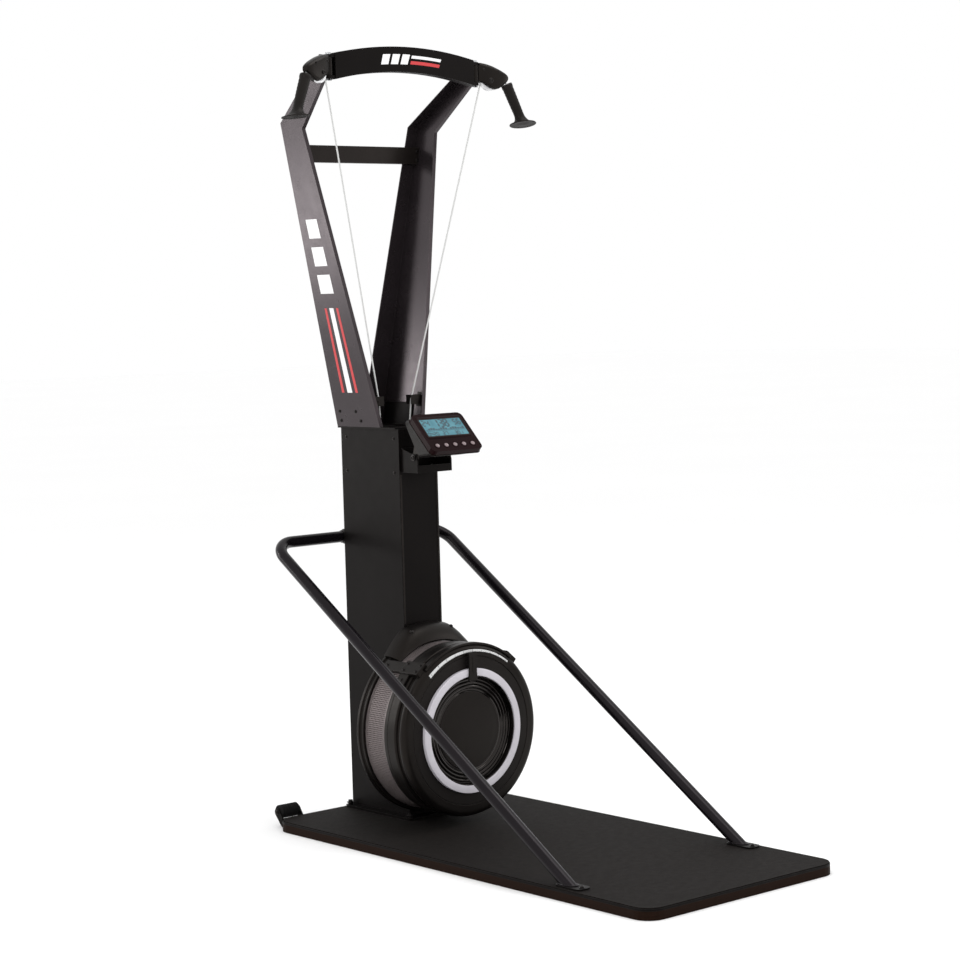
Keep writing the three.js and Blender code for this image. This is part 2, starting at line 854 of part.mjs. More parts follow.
// Pulley heads. X runs outward from the swivel axis, which is at the group's own origin.
// Each section is in shares of the head's reach, height and widest width, from root to nose.
const headSectionShares = [
  { along: 0, low: 0.284, high: 1, across: 0.588 },
  { along: 0.17, low: 0.23, high: 0.98, across: 0.882 },
  { along: 0.38, low: 0.068, high: 0.919, across: 1 },
  { along: 0.56, low: 0, high: 0.838, across: 0.953 },
  { along: 0.76, low: 0.095, high: 0.723, across: 0.882 },
  { along: 0.86, low: 0.182, high: 0.649, across: 0.794 },
  { along: 1, low: 0.338, high: 0.5, across: 0.5 },
];

function headSection(share) {
  const bottom = swivelMiddleHeight - headDrop;
  const height = headDrop + headRise;
  return {
    reach: headRootReach + share.along * (headNoseReach - headRootReach),
    low: bottom + share.low * height,
    high: bottom + share.high * height,
    width: share.across * headWidestWidth,
  };
}

function headRing({ reach, low, high, width }) {
  const radius = Math.min(headCornerRadius, width / 2 - seatGap, (high - low) / 2 - seatGap);
  const outline = roundedRectangle(width, high - low, radius, 2);
  return outline.map(([y, z]) => vec(reach, y, (low + high) / 2 + z));
}

// The cord passes over the pulley and leaves it towards the mouth
function headCordAngle() {
  const reach = headMouthReach - pulleyReach;
  const rise = headMouthHeight - pulleyHeight;
  const wrap = pulleyGrooveRadius + cordRadius + seatGap;
  const distance = Math.hypot(reach, rise);
  return Math.atan2(rise, reach) + Math.acos(wrap / distance);
}

function headCordLeave() {
  const angle = headCordAngle();
  const wrap = pulleyGrooveRadius + cordRadius + seatGap;
  return vec(pulleyReach + wrap * Math.cos(angle), 0, pulleyHeight + wrap * Math.sin(angle));
}

function buildHead() {
  const sections = headSectionShares.map(headSection);
  const rings = sections.map(headRing);
  const first = sections[0];
  const outline = roundedRectangle(first.width, first.high - first.low, headCornerRadius, 2);
  const shell = loft(rings, outline);
  const barrelLow = swivelBottomHeight + swivelLugThickness + seatGap;
  const barrelHigh = swivelTopHeight - swivelLugThickness - seatGap;
  const barrel = rod(swivelBarrelRadius, vec(0, 0, barrelLow), vec(0, 0, barrelHigh));
  const bore = rod(
    swivelPinRadius + seatGap,
    vec(0, 0, barrelLow - cutOverrun), vec(0, 0, barrelHigh + cutOverrun));
  const trimTop = block(
    [-swivelLugRadius, swivelLugRadius + runningGap], [-headWidestWidth, headWidestWidth],
    [barrelHigh, swivelTopHeight + cutOverrun]);
  const trimBottom = block(
    [-swivelLugRadius, swivelLugRadius + runningGap], [-headWidestWidth, headWidestWidth],
    [swivelBottomHeight - cutOverrun, barrelLow]);
  const slot = block(
    [swivelBarrelRadius, headSlotReach],
    [-headSlotWidth / 2, headSlotWidth / 2],
    [swivelMiddleHeight - headDrop - cutOverrun, pulleyHeight + pulleyFlangeRadius + cutOverrun]);
  const channel = rod(headMouthRadius, headCordLeave(), headMouth, tinySegments);
  const past = headMouth.clone().addScaledVector(handleHeading, cutOverrun * headMouthRadius);
  const outlet = rod(headMouthRadius, headMouth, past, tinySegments);
  const turn = new THREE.SphereGeometry(headMouthRadius, tinySegments, tinySegments / 2);
  turn.translate(headMouth.x, headMouth.y, headMouth.z);
  const axle = rod(
    headAxleRadius,
    vec(pulleyReach, -headSlotWidth, pulleyHeight), vec(pulleyReach, headSlotWidth, pulleyHeight));
  const body = cut(join(shell, barrel), trimTop, trimBottom, bore, slot, channel, turn, outlet);
  return join(body, axle);
}

function buildPulley() {
  const bore = headAxleRadius + runningGap / 2;
  const half = pulleyWidth / 2;
  const groove = pulleyGrooveWidth / 2;
  const profile = [
    [bore, -half],
    [pulleyFlangeRadius, -half],
    [pulleyFlangeRadius, -half + pulleyRimWidth],
    [pulleyGrooveRadius, -groove / 2],
    [pulleyGrooveRadius, groove / 2],
    [pulleyFlangeRadius, half - pulleyRimWidth],
    [pulleyFlangeRadius, half],
    [bore, half],
  ];
  return turned(profile, smallSegments).translate(pulleyReach, 0, pulleyHeight);
}

// The grip leans but its flange lies nearly level, a little raised in front: each ring turns
// more between start and end
function levelFlange(grip, start, end) {
  const places = grip.getAttribute("position");
  const point = vec(0, 0, 0);
  for (let i = 0; i < places.count; i += 1) {
    point.fromBufferAttribute(places, i);
    const along = point.dot(handleHeading);
    const middle = handleHeading.clone().multiplyScalar(along);
    const share = THREE.MathUtils.smoothstep(along, start, end);
    point.sub(middle);
    point.applyAxisAngle(YAXIS, handleLeanAngle * DEG * share);
    point.applyAxisAngle(XAXIS, -handleFlangeTiltAngle * DEG * share);
    point.add(middle);
    places.setXYZ(i, point.x, point.y, point.z);
  }
}

function buildHandle() {
  const flareStart = handleLength - handleFlareLength;
  const flangeTop = handleLength - handleFlangeThickness;
  const middle = (handleNeckLength + flareStart) / 2;
  const flare = [];
  const flareSteps = 4;
  for (let i = 1; i <= flareSteps; i += 1) {
    const angle = (90 * i * DEG) / flareSteps;
    const radius = handleWaistRadius + (handleFlangeRadius - handleWaistRadius) * (1 - Math.cos(angle));
    flare.push([radius, flareStart + (flangeTop - flareStart) * Math.sin(angle)]);
  }
  const profile = [
    [0, 0],
    [handleNeckRadius, 0],
    [handleNeckRadius, handleNeckLength],
    [handleGripRadius, handleNeckLength],
    [handleGripRadius, middle],
    [handleWaistRadius, (middle + flareStart) / 2],
    [handleWaistRadius, flareStart],
    ...flare,
    [handleFlangeRadius, handleLength - handleDomeHeight],
    [0, handleLength],
  ];
  const points = profile.map(([r, y]) => new THREE.Vector2(r, y));
  const grip = new THREE.LatheGeometry(points, smallSegments);
  grip.applyQuaternion(new THREE.Quaternion().setFromUnitVectors(YAXIS, handleHeading));
  levelFlange(grip, handleNeckLength, flareStart);
  return grip.translate(handleNeck.x, handleNeck.y, handleNeck.z);
}

// The cord's length in the head: over the pulley, through the nose and to the handle
function buildHandleCord() {
  const wrap = pulleyGrooveRadius + cordRadius + seatGap;
  const start = pulleyReach - wrap;
  const leave = headCordLeave();
  const back = leave.clone().sub(headMouth).normalize();
  const over = headMouth.clone().addScaledVector(back, (start - headMouthReach) / back.x);
  const end = handleNeck.clone().addScaledVector(handleHeading, -seatGap);
  const route = new RoundedRoute(
    [vec(start, 0, pulleyHeight), over, headMouth, end], [wrap, mouthBendRadius], 9);
  return tube(route, cordRadius, cordSides);
}

function buildHeads() {
  const pieces = [
    ["pulley_head", buildHead(), "blackPlastic"],
    ["cord_pulley", buildPulley(), "silver"],
    ["handle", buildHandle(), "blackPlastic"],
    ["handle_cord", buildHandleCord(), "cord"],
  ];
  for (const [side, name] of [[1, "right"], [-1, "left"]]) {
    const group = new THREE.Group();
    group.position.set(side * swivelSpread, swivelDepthPlace, 0);
    group.rotation.z = -side * headForwardAngle * DEG;
    machine.add(group);
    for (const [piece, geometry, look] of pieces) {
      place(`${piece}_${name}`, side > 0 ? geometry : mirrored(geometry), look, group);
    }
    buildSwivelPin(side, `swivel_pin_${name}`);
  }
}

// Drive cords: from each head straight to the guide roller, then down the column to the drum
function cordTop(side) {
  const reach = pulleyReach - pulleyGrooveRadius - cordRadius - seatGap;
  const angle = headForwardAngle * DEG;
  return vec(
    side * (swivelSpread + reach * Math.cos(angle)),
    swivelDepthPlace - reach * Math.sin(angle),
    pulleyHeight - seatGap);
}

function buildDriveCords() {
  const beside = drumRadius + cordRadius + seatGap;
  for (const [side, name] of [[1, "right"], [-1, "left"]]) {
    const top = cordTop(side);
    const corners = [
      top,
      top.clone().addScaledVector(ZAXIS, -cordLeadLength),
      vec(side * guideSpread, guideDepthPlace, guideHeight),
      vec(-beside, cordDrumPlaces[name] + cordDrumWidth / 2, axisHeight),
    ];
    const route = new RoundedRoute(corners, [cordBendRadius, cordBendRadius], 3);
    place(`drive_cord_${name}`, tube(route, cordRadius, cordSides), "cord");
  }
}

// Cord guides: a fork on the arm's inner face that holds a steel roller inside the cord's bend
function buildGuides() {
  const rollerX = guideSpread + cordRadius + guideRollerRadius + runningGap;
  const half = guideHalfDepth;
  const nose = guideSpread - guideRollerRadius;
  const webAt = (height) => armSpread(height) - armWall - seatGap;
  const fork = (height, thickness) => {
    const [low, high] = [guideHeight - height / 2, guideHeight + height / 2];
    return [
      [webAt(low) - thickness, low],
      [webAt(low), low],
      [webAt(high), high],
      [webAt(high) - thickness, high],
    ];
  };
  const base = plateY(
    fork(guideBaseHeight, guideCheekThickness),
    guideDepthPlace - half - guideCheekThickness, guideDepthPlace + half + guideCheekThickness);
  const [low, high] = [guideHeight - guideCheekHeight / 2, guideHeight + guideCheekHeight / 2];
  const cheeks = [-half - guideCheekThickness, half].map((start) => plateY([
    [nose, low],
    [webAt(low), low],
    [webAt(high), high],
    [nose, high],
  ], guideDepthPlace + start, guideDepthPlace + start + guideCheekThickness));
  const pinHalf = half + guideCheekThickness + guidePinRadius;
  const pin = rod(
    guidePinRadius,
    vec(rollerX, guideDepthPlace - pinHalf, guideHeight),
    vec(rollerX, guideDepthPlace + pinHalf, guideHeight), tinySegments);
  const bracket = join(base, ...cheeks, pin);
  const rollerHalf = guideRollerLength / 2;
  const roller = turned([
    [guideRollerBore, -rollerHalf],
    [guideRollerRadius, -rollerHalf],
    [guideRollerRadius, rollerHalf],
    [guideRollerBore, rollerHalf],
  ], smallSegments).translate(rollerX, guideDepthPlace, guideHeight);
  place("cord_guide_right", bracket, "blackPlastic");
  place("cord_guide_left", mirrored(bracket), "blackPlastic");
  place("guide_roller_right", roller, "steel");
  place("guide_roller_left", mirrored(roller), "steel");
}

// Handrail: one bent tube behind the column, two legs down to the platform
function buildHandrail() {
  const topPlace = columnRear + railTopSetback;
  const slope = railSlopeAngle * DEG;
  const end = platformTop + 2 * seatGap + railFootThickness;
  const drop = railTopHeight - end + railRadius;
  const footPlace = topPlace - drop / Math.tan(slope);
  const corners = (extra) => {
    const foot = end - railRadius - extra * Math.sin(slope);
    const y = footPlace - extra * Math.cos(slope);
    return [
      vec(-railSpread, y, foot),
      vec(-railSpread, topPlace, railTopHeight),
      vec(railSpread, topPlace, railTopHeight),
      vec(railSpread, y, foot),
    ];
  };
  const overrun = 4 * railRadius;
  const bends = [railBendRadius, railBendRadius];
  const outer = tube(new RoundedRoute(corners(overrun / 2), bends, 6), railRadius, railSides);
  const inner = tube(new RoundedRoute(corners(overrun), bends, 6), railRadius - railWall, railSides);
  const floor = block(
    [-railSpread - overrun, railSpread + overrun],
    [footPlace - 2 * overrun, footPlace + 2 * overrun],
    [end - 2 * overrun, end]);
  place("handrail", cut(outer, inner, floor), "powderCoat");

  // The leg meets its foot plate where the tube's centre line reaches the plate's top
  const meet = topPlace - (railTopHeight - end) / Math.tan(slope);
  for (const [side, name] of [[1, "right"], [-1, "left"]]) {
    const outline = roundedRectangle(railFootWidth, railFootLength, railFootWidth / 3, 5);
    const low = platformTop + seatGap;
    const plate = plateZ(outline, low, end - seatGap);
    plate.translate(side * railSpread, meet + railFootRearMargin - railFootLength / 2, 0);
    place(`rail_foot_${name}`, plate, "powderCoat");
  }

  const clampRear = topPlace;
  const eye = [];
  for (let i = 0; i <= tinySegments; i += 1) {
    const angle = (90 - (180 * i) / tinySegments) * DEG;
    const radius = railRadius + seatGap + railClampWall;
    eye.push([clampRear + radius * Math.cos(angle), railTopHeight + radius * Math.sin(angle)]);
  }
  const base = columnRear + seatGap;
  const outline = [
    [base, railTopHeight - railClampBaseHeight / 2],
    [base + railClampWall, railTopHeight - railClampBaseHeight / 2],
    [base + railClampWall, railTopHeight - railRadius - railClampWall],
    ...eye.reverse(),
    [base + railClampWall, railTopHeight + railRadius + railClampWall],
    [base + railClampWall, railTopHeight + railClampBaseHeight / 2],
    [base, railTopHeight + railClampBaseHeight / 2],
  ];
  const clamp = plateX(outline, -railClampWidth / 2, railClampWidth / 2);
  const bore = rod(
    holeRadius(railRadius + seatGap),
    vec(-railClampWidth, topPlace, railTopHeight), vec(railClampWidth, topPlace, railTopHeight));
  place("handrail_clamp", cut(clamp, bore), "powderCoat");
}

// Transport rollers behind the platform's rear edge
function buildWheels() {
  const axlePlace = platformRear + wheelSetback;
  const half = wheelLength / 2;
  const bore = wheelAxleRadius + runningGap / 2;
  const profile = [
    [bore, -half],
    [wheelRadius - wheelEdgeRound, -half],
    [wheelRadius, -half + wheelEdgeRound],
    [wheelRadius, half - wheelEdgeRound],
    [wheelRadius - wheelEdgeRound, half],
    [bore, half],
  ];
  const roller = turned(profile, smallSegments).rotateZ(90 * DEG);
  const base = platformRear + seatGap;
  const earIn = half + runningGap;
  const earOut = earIn + wheelForkWall;
  const plate = block(
    [-earOut, earOut], [base, base + wheelForkWall],
    [wheelForkBottom, wheelForkBottom + wheelForkHeight]);
  const tangentY = wheelEarRadius * Math.cos(wheelEarTangentAngle * DEG);
  const tangentZ = wheelEarRadius * Math.sin(wheelEarTangentAngle * DEG);
  const parts = [];
  for (const side of [-1, 1]) {
    const [inX, outX] = [Math.min(side * earIn, side * earOut), Math.max(side * earIn, side * earOut)];
    const eye = rod(wheelEarRadius, vec(inX, axlePlace, wheelHeight), vec(outX, axlePlace, wheelHeight));
    const web = plateX([
      [base, wheelForkBottom],
      [base + wheelForkWall, wheelForkBottom],
      [axlePlace + tangentY, wheelHeight - tangentZ],
      [axlePlace - tangentY, wheelHeight + tangentZ],
      [base, wheelForkBottom + wheelForkHeight],
    ], inX, outX);
    parts.push(eye, web);
  }
  const axle = rod(
    wheelAxleRadius, vec(-earOut, axlePlace, wheelHeight), vec(earOut, axlePlace, wheelHeight));
  const fork = join(plate, ...parts, axle);
  roller.translate(0, axlePlace, wheelHeight);
  for (const [side, name] of [[1, "right"], [-1, "left"]]) {
    place(`wheel_fork_${name}`, fork.clone().translate(side * wheelSpread, 0, 0), "powderCoat");
    place(`transport_wheel_${name}`, roller.clone().translate(side * wheelSpread, 0, 0), "rubber");
  }
}

// Flywheel unit. Profiles are radius and distance forward from the column front.
function forward(profile) {
  return profile.map(([radius, ahead]) => [radius, columnFront - ahead]);
}

function onAxis(geometry) {
  return geometry.translate(0, 0, axisHeight);
}

function buildHousing() {
  const bearingSeat = bearingRadius + seatGap;
  const pan = turned(forward([
    [bearingSeat, seatGap],
    [panRimRadius, seatGap],
    [panRimRadius, panRimDepth],
    [panRadius, panRimDepth],
    [panRadius, panDepth],
    [panLipRadius, panDepth],
    [panLipRadius, panDepth - panWall],
    [panRadius - panWall, panDepth - panWall],
    [panRadius - panWall, panWall + seatGap],
    [panHubRadius, panWall + seatGap],
    [panHubRadius, bearingWidth + panWall],
    [bearingSeat, bearingWidth + panWall],
  ]));
  place("back_pan", onAxis(pan), "blackPlastic");

  const band = turned(forward([
    [meshRadius - meshThickness, meshStart],
    [meshRadius, meshStart],
    [meshRadius, meshEnd],
    [meshRadius - meshThickness, meshEnd],
  ]), meshSlotCount);
  const slotPitch = 360 / meshSlotCount;
  const slotWidth = 2 * meshRadius * Math.sin((slotPitch * meshSlotGapShare * DEG) / 2);
  const slots = [];
  for (let i = 0; i < meshSlotCount; i += 1) {
    const slot = block(
      [meshRadius - meshThickness - cutOverrun, meshRadius + cutOverrun],
      [columnFront - meshEnd + meshSlotMargin, columnFront - meshStart - meshSlotMargin],
      [-slotWidth / 2, slotWidth / 2]);
    slots.push(slot.rotateY((i + 0.5) * slotPitch * DEG));
  }
  place("mesh_band", onAxis(cut(band, ...slots)), "silver");

  const shoulder = [];
  const shoulderSteps = 3;
  for (let i = 0; i <= shoulderSteps; i += 1) {
    const angle = (90 * i * DEG) / shoulderSteps;
    shoulder.push([
      drumLipRadius - drumShoulderRadius + drumShoulderRadius * Math.cos(angle),
      drumFaceDepth - drumShoulderRadius + drumShoulderRadius * Math.sin(angle),
    ]);
  }
  const drumBack = meshEnd + seatGap;
  const seatRadius = holeRadius(damperSeatRadius, largeSegments);
  const drum = turned(forward([
    [drumLipRadius - drumWall, drumBack],
    [drumLipRadius, drumBack],
    [drumLipRadius, drumLipEnd],
    [drumGrooveRadius, drumLipEnd],
    [drumGrooveRadius, drumGrooveEnd],
    [drumLipRadius, drumShoulderStart],
    ...shoulder,
    [seatRadius, drumFaceDepth],
    [seatRadius, drumFaceDepth - damperSeatDepth],
    [bowlRadius + seatGap, drumFaceDepth - damperSeatDepth],
    [bowlRadius + seatGap, drumFaceDepth - damperSeatDepth - drumWall],
    [drumGrooveRadius - drumWall, drumFaceDepth - damperSeatDepth - drumWall],
    [drumGrooveRadius - drumWall, drumLipEnd - drumWall],
    [drumLipRadius - drumWall, drumLipEnd - drumWall],
  ]));
  // Lugs hold the drum to the band: the upper ones reach back over it to the pan
  const lug = (low, high, length, width, back) => block(
    [low, high], [columnFront - back - length, columnFront - back], [-width / 2, width / 2]);
  const top = drumLipRadius + lugHeight;
  const bridgeBack = panDepth + runningGap;
  const bridgeLength = drumLipEnd - bridgeBack;
  const upper = join(
    lug(drumGrooveRadius, top, lugLength, lugWidth, drumBack),
    lug(meshRadius + cowlWall, drumLipRadius + lugBridgeHeight, bridgeLength, lugBridgeWidth, bridgeBack));
  const lower = lug(drumGrooveRadius, drumLipRadius + sideLugHeight, sideLugLength, lugWidth, drumBack);
  const lugs = [];
  for (const side of [-1, 1]) {
    lugs.push(upper.clone().rotateY((side * lugAngle - 90) * DEG));
    lugs.push(lower.clone().rotateY((side * sideLugAngle - 90) * DEG));
  }
  place("front_drum", onAxis(join(drum, ...lugs)), "blackPlastic");
}

function sector(innerRadius, outerRadius, startAngle, endAngle, steps) {
  const outer = [];
  const inner = [];
  for (let i = 0; i <= steps; i += 1) {
    const angle = (startAngle + ((endAngle - startAngle) * i) / steps) * DEG;
    outer.push([outerRadius * Math.cos(angle), outerRadius * Math.sin(angle)]);
    inner.unshift([innerRadius * Math.cos(angle), innerRadius * Math.sin(angle)]);
  }
  return [...outer, ...inner];
}

function buildFront() {
  const ringBack = drumFaceDepth - damperSeatDepth + seatGap;
  const ringFront = capRimDepth + trimRingThickness;
  const ring = turned(forward([
    [bowlRadius + seatGap, ringBack],
    [trimRingOuterRadius, ringBack],
    [trimRingOuterRadius, ringFront - trimRingThickness / 2],
    [trimRingOuterRadius - trimRingThickness, ringFront],
    [bowlRadius + seatGap + trimRingThickness, ringFront],
    [bowlRadius + seatGap, ringFront - trimRingThickness / 2],
  ]));
  place("trim_ring", onAxis(ring), "whiteRing");

  // Ridges step down from the rim of the bowl to its floor
  const pitch = (bowlRadius - capWall - capDiscRadius) / (capRidgeCount + 1);
  const ridges = [];
  for (let i = 1; i <= capRidgeCount; i += 1) {
    const middle = bowlRadius - capWall - pitch * i;
    ridges.push(
      [middle + capRidgeWidth / 2, capFloorDepth],
      [middle, capFloorDepth + capRidgeHeight],
      [middle - capRidgeWidth / 2, capFloorDepth]);
  }
  const dome = [];
  const domeSteps = 3;
  for (let i = 0; i <= domeSteps; i += 1) {
    const share = i / domeSteps;
    dome.push([capDiscRadius * (1 - share), capFloorDepth + capDomeHeight * (1 - (1 - share) ** 2)]);
  }
  const capProfile = forward([
    [0, capFloorDepth - capWall],
    [bowlRadius, capFloorDepth - capWall],
    [bowlRadius, capRimDepth],
    [bowlRadius - capWall, capRimDepth],
    [bowlRadius - capWall, capFloorDepth],
    ...ridges,
    ...dome,
  ]);
  const cap = new THREE.LatheGeometry(
    capProfile.map(([r, y]) => new THREE.Vector2(r, y)), largeSegments);
  place("front_cap", onAxis(cap), "glossPlastic");

  const seat = drumFaceDepth - damperSeatDepth + seatGap;
  const damperInner = holeRadius(trimRingOuterRadius + runningGap, largeSegments);
  const damperOuter = damperSeatRadius - runningGap;
  const damper = turned(forward([
    [damperInner, seat],
    [damperOuter, seat],
    [damperOuter, seat + damperRingThickness],
    [damperInner, seat + damperRingThickness],
  ]));
  const leverBack = ringFront + runningGap;
  const leverFront = leverBack + damperLeverThickness;
  const postInner = (damperInner + damperOuter) / 2 - damperLeverThickness;
  const lever = block(
    [-damperLeverWidth / 2, damperLeverWidth / 2],
    [columnFront - leverFront, columnFront - leverBack],
    [damperLeverInnerRadius, damperLeverOuterRadius]);
  const post = block(
    [-damperLeverWidth / 2, damperLeverWidth / 2],
    [columnFront - leverBack - damperLeverThickness / 2, columnFront - seat],
    [postInner, postInner + 2 * damperLeverThickness]);
  place("damper_lever", onAxis(join(damper, lever, post)), "blackPlastic");

  const scaleBack = drumFaceDepth + seatGap;
  const scale = plateY(
    sector(scaleInnerRadius, scaleOuterRadius, scaleStartAngle, scaleEndAngle, 16),
    columnFront - scaleBack - scaleThickness, columnFront - scaleBack);
  place("damper_scale", onAxis(scale), "whiteRing");
}

// Cowl: the hood between the column front and the top of the flywheel. Its section, from the
// column to the band, is in shares of its height over the band and of its depth.
const cowlSectionShares = [
  { up: 1, ahead: 0 },
  { up: 0.97, ahead: 0.3 },
  { up: 0.82, ahead: 0.58 },
  { up: 0.54, ahead: 0.81 },
  { up: 0.1, ahead: 1 },
];

function cowlSolid(span, inset) {
  const rings = [];
  const steps = 12;
  for (let i = 0; i <= steps; i += 1) {
    const turn = -span + (2 * span * i) / steps;
    const past = Math.max(0, Math.abs(turn) - cowlCrestAngle) / (cowlSpanAngle - cowlCrestAngle);
    const crest = cowlRadius + (cowlEndRadius - cowlRadius) * past;
    const section = cowlSectionShares.map(({ up, ahead }) => [
      meshRadius + up * (crest - meshRadius) - inset,
      seatGap + ahead * (cowlDepth - inset),
    ]);
    const low = drumGrooveRadius - inset;
    section[0][1] -= inset;
    const outline = [[low, section[0][1]], ...section, [low, seatGap + cowlDepth - inset]];
    rings.push(outline.map(([radius, ahead]) => vec(
      radius * Math.sin(turn * DEG), columnFront - ahead, radius * Math.cos(turn * DEG))));
  }
  const flat = [[0, 0], ...cowlSectionShares.map(({ up, ahead }) => [1 + up, ahead]), [0, 1]];
  return loft(rings, flat);
}

function buildCowl() {
  const clear = (radius) => holeRadius(radius + runningGap, largeSegments);
  const [rim, pan, band] = [clear(panRimRadius), clear(panRadius), clear(meshRadius)];
  const under = turned(forward([
    [panHubRadius, -cutOverrun],
    [rim, -cutOverrun],
    [rim, panRimDepth + runningGap],
    [pan, panRimDepth + runningGap],
    [pan, panDepth + runningGap],
    [band, panDepth + runningGap],
    [band, cowlDepth + cutOverrun],
    [panHubRadius, cowlDepth + cutOverrun],
  ]));
  const shell = cut(
    cowlSolid(cowlSpanAngle, 0), cowlSolid(cowlSpanAngle - cowlEndWallAngle, cowlWall), under);
  place("flywheel_cowl", onAxis(shell), "blackPlastic");
}

function buildFan() {
  const boreRadius = shaftRadius + seatGap;
  const disc = turned(forward([
    [boreRadius, fanStart - fanRimRadius],
    [fanHubRadius, fanStart - fanRimRadius],
    [fanHubRadius, fanStart],
    [fanRadius, fanStart],
    [fanRadius, fanStart + fanDiscThickness],
    [fanHubRadius, fanStart + fanDiscThickness],
    [fanHubRadius, fanEnd],
    [boreRadius, fanEnd],
  ]));
  const blades = [];
  for (let i = 0; i < fanBladeCount; i += 1) {
    const blade = block(
      [fanBladeInnerRadius, fanRadius],
      [columnFront - fanEnd, columnFront - fanStart - fanDiscThickness / 2],
      [-fanBladeThickness / 2, fanBladeThickness / 2]);
    blades.push(blade.rotateY((360 * i * DEG) / fanBladeCount));
  }
  place("fan_flywheel", onAxis(join(disc, ...blades)), "steel");
}

function buildDrive() {
  const shaft = rod(
    shaftRadius,
    vec(0, columnFront - shaftFrontReach, axisHeight), vec(0, shaftRear, axisHeight));
  place("drive_shaft", shaft, "steel");

  const race = turned([
    [shaftRadius + seatGap, 0],
    [bearingRadius, 0],
    [bearingRadius, bearingWidth],
    [shaftRadius + seatGap, bearingWidth],
  ], smallSegments);
  const frontSeat = columnFront - panWall - bearingWidth;
  place("bearing_front", onAxis(race.clone().translate(0, frontSeat, 0)), "steel");
  const bracketFront = shaftRear - bearingWidth;
  place("bearing_rear", onAxis(race.clone().translate(0, bracketFront, 0)), "steel");

  for (const name of ["left", "right"]) {
    const start = cordDrumPlaces[name];
    const drum = turned([
      [shaftRadius + seatGap, 0],
      [cordDrumFlangeRadius, 0],
      [cordDrumFlangeRadius, cordDrumFlangeWidth],
      [drumRadius, cordDrumFlangeWidth],
      [drumRadius, cordDrumWidth - cordDrumFlangeWidth],
      [cordDrumFlangeRadius, cordDrumWidth - cordDrumFlangeWidth],
      [cordDrumFlangeRadius, cordDrumWidth],
      [shaftRadius + seatGap, cordDrumWidth],
    ], smallSegments);
    place(`cord_drum_${name}`, onAxis(drum.translate(0, start, 0)), "blackPlastic");
  }
}

// Return bungees: from the far side of each drum up to a cross pin near the column top
function buildBungees() {
  const beside = drumRadius + bungeeRadius + seatGap;
  const anchorHeight = columnTopHeight - bungeeAnchorDrop;
  const inner = columnWidth / 2 - columnWall - seatGap;
  const middle = (cordDrumPlaces.left + cordDrumPlaces.right + cordDrumWidth) / 2;
  for (const name of ["left", "right"]) {
    const y = cordDrumPlaces[name] + cordDrumWidth / 2;
    const top = anchorHeight - bungeeBarRadius - seatGap;
    const route = new RoundedRoute([vec(beside, y, axisHeight), vec(beside, y, top)], [], 1);
    place(`return_bungee_${name}`, tube(route, bungeeRadius, cordSides), "bungee");
  }
  const bar = rod(
    bungeeBarRadius,
    vec(beside, middle - cordDrumSpacing, anchorHeight),
    vec(beside, middle + cordDrumSpacing, anchorHeight), tinySegments);
  const hanger = block(
    [beside - bungeeBarRadius, inner],
    [middle - bungeeBarRadius / 2, middle + bungeeBarRadius / 2],
    [anchorHeight - bungeeBarRadius, anchorHeight + bungeeBarRadius]);
  place("bungee_anchor", join(bar, hanger), "powderCoat");
}

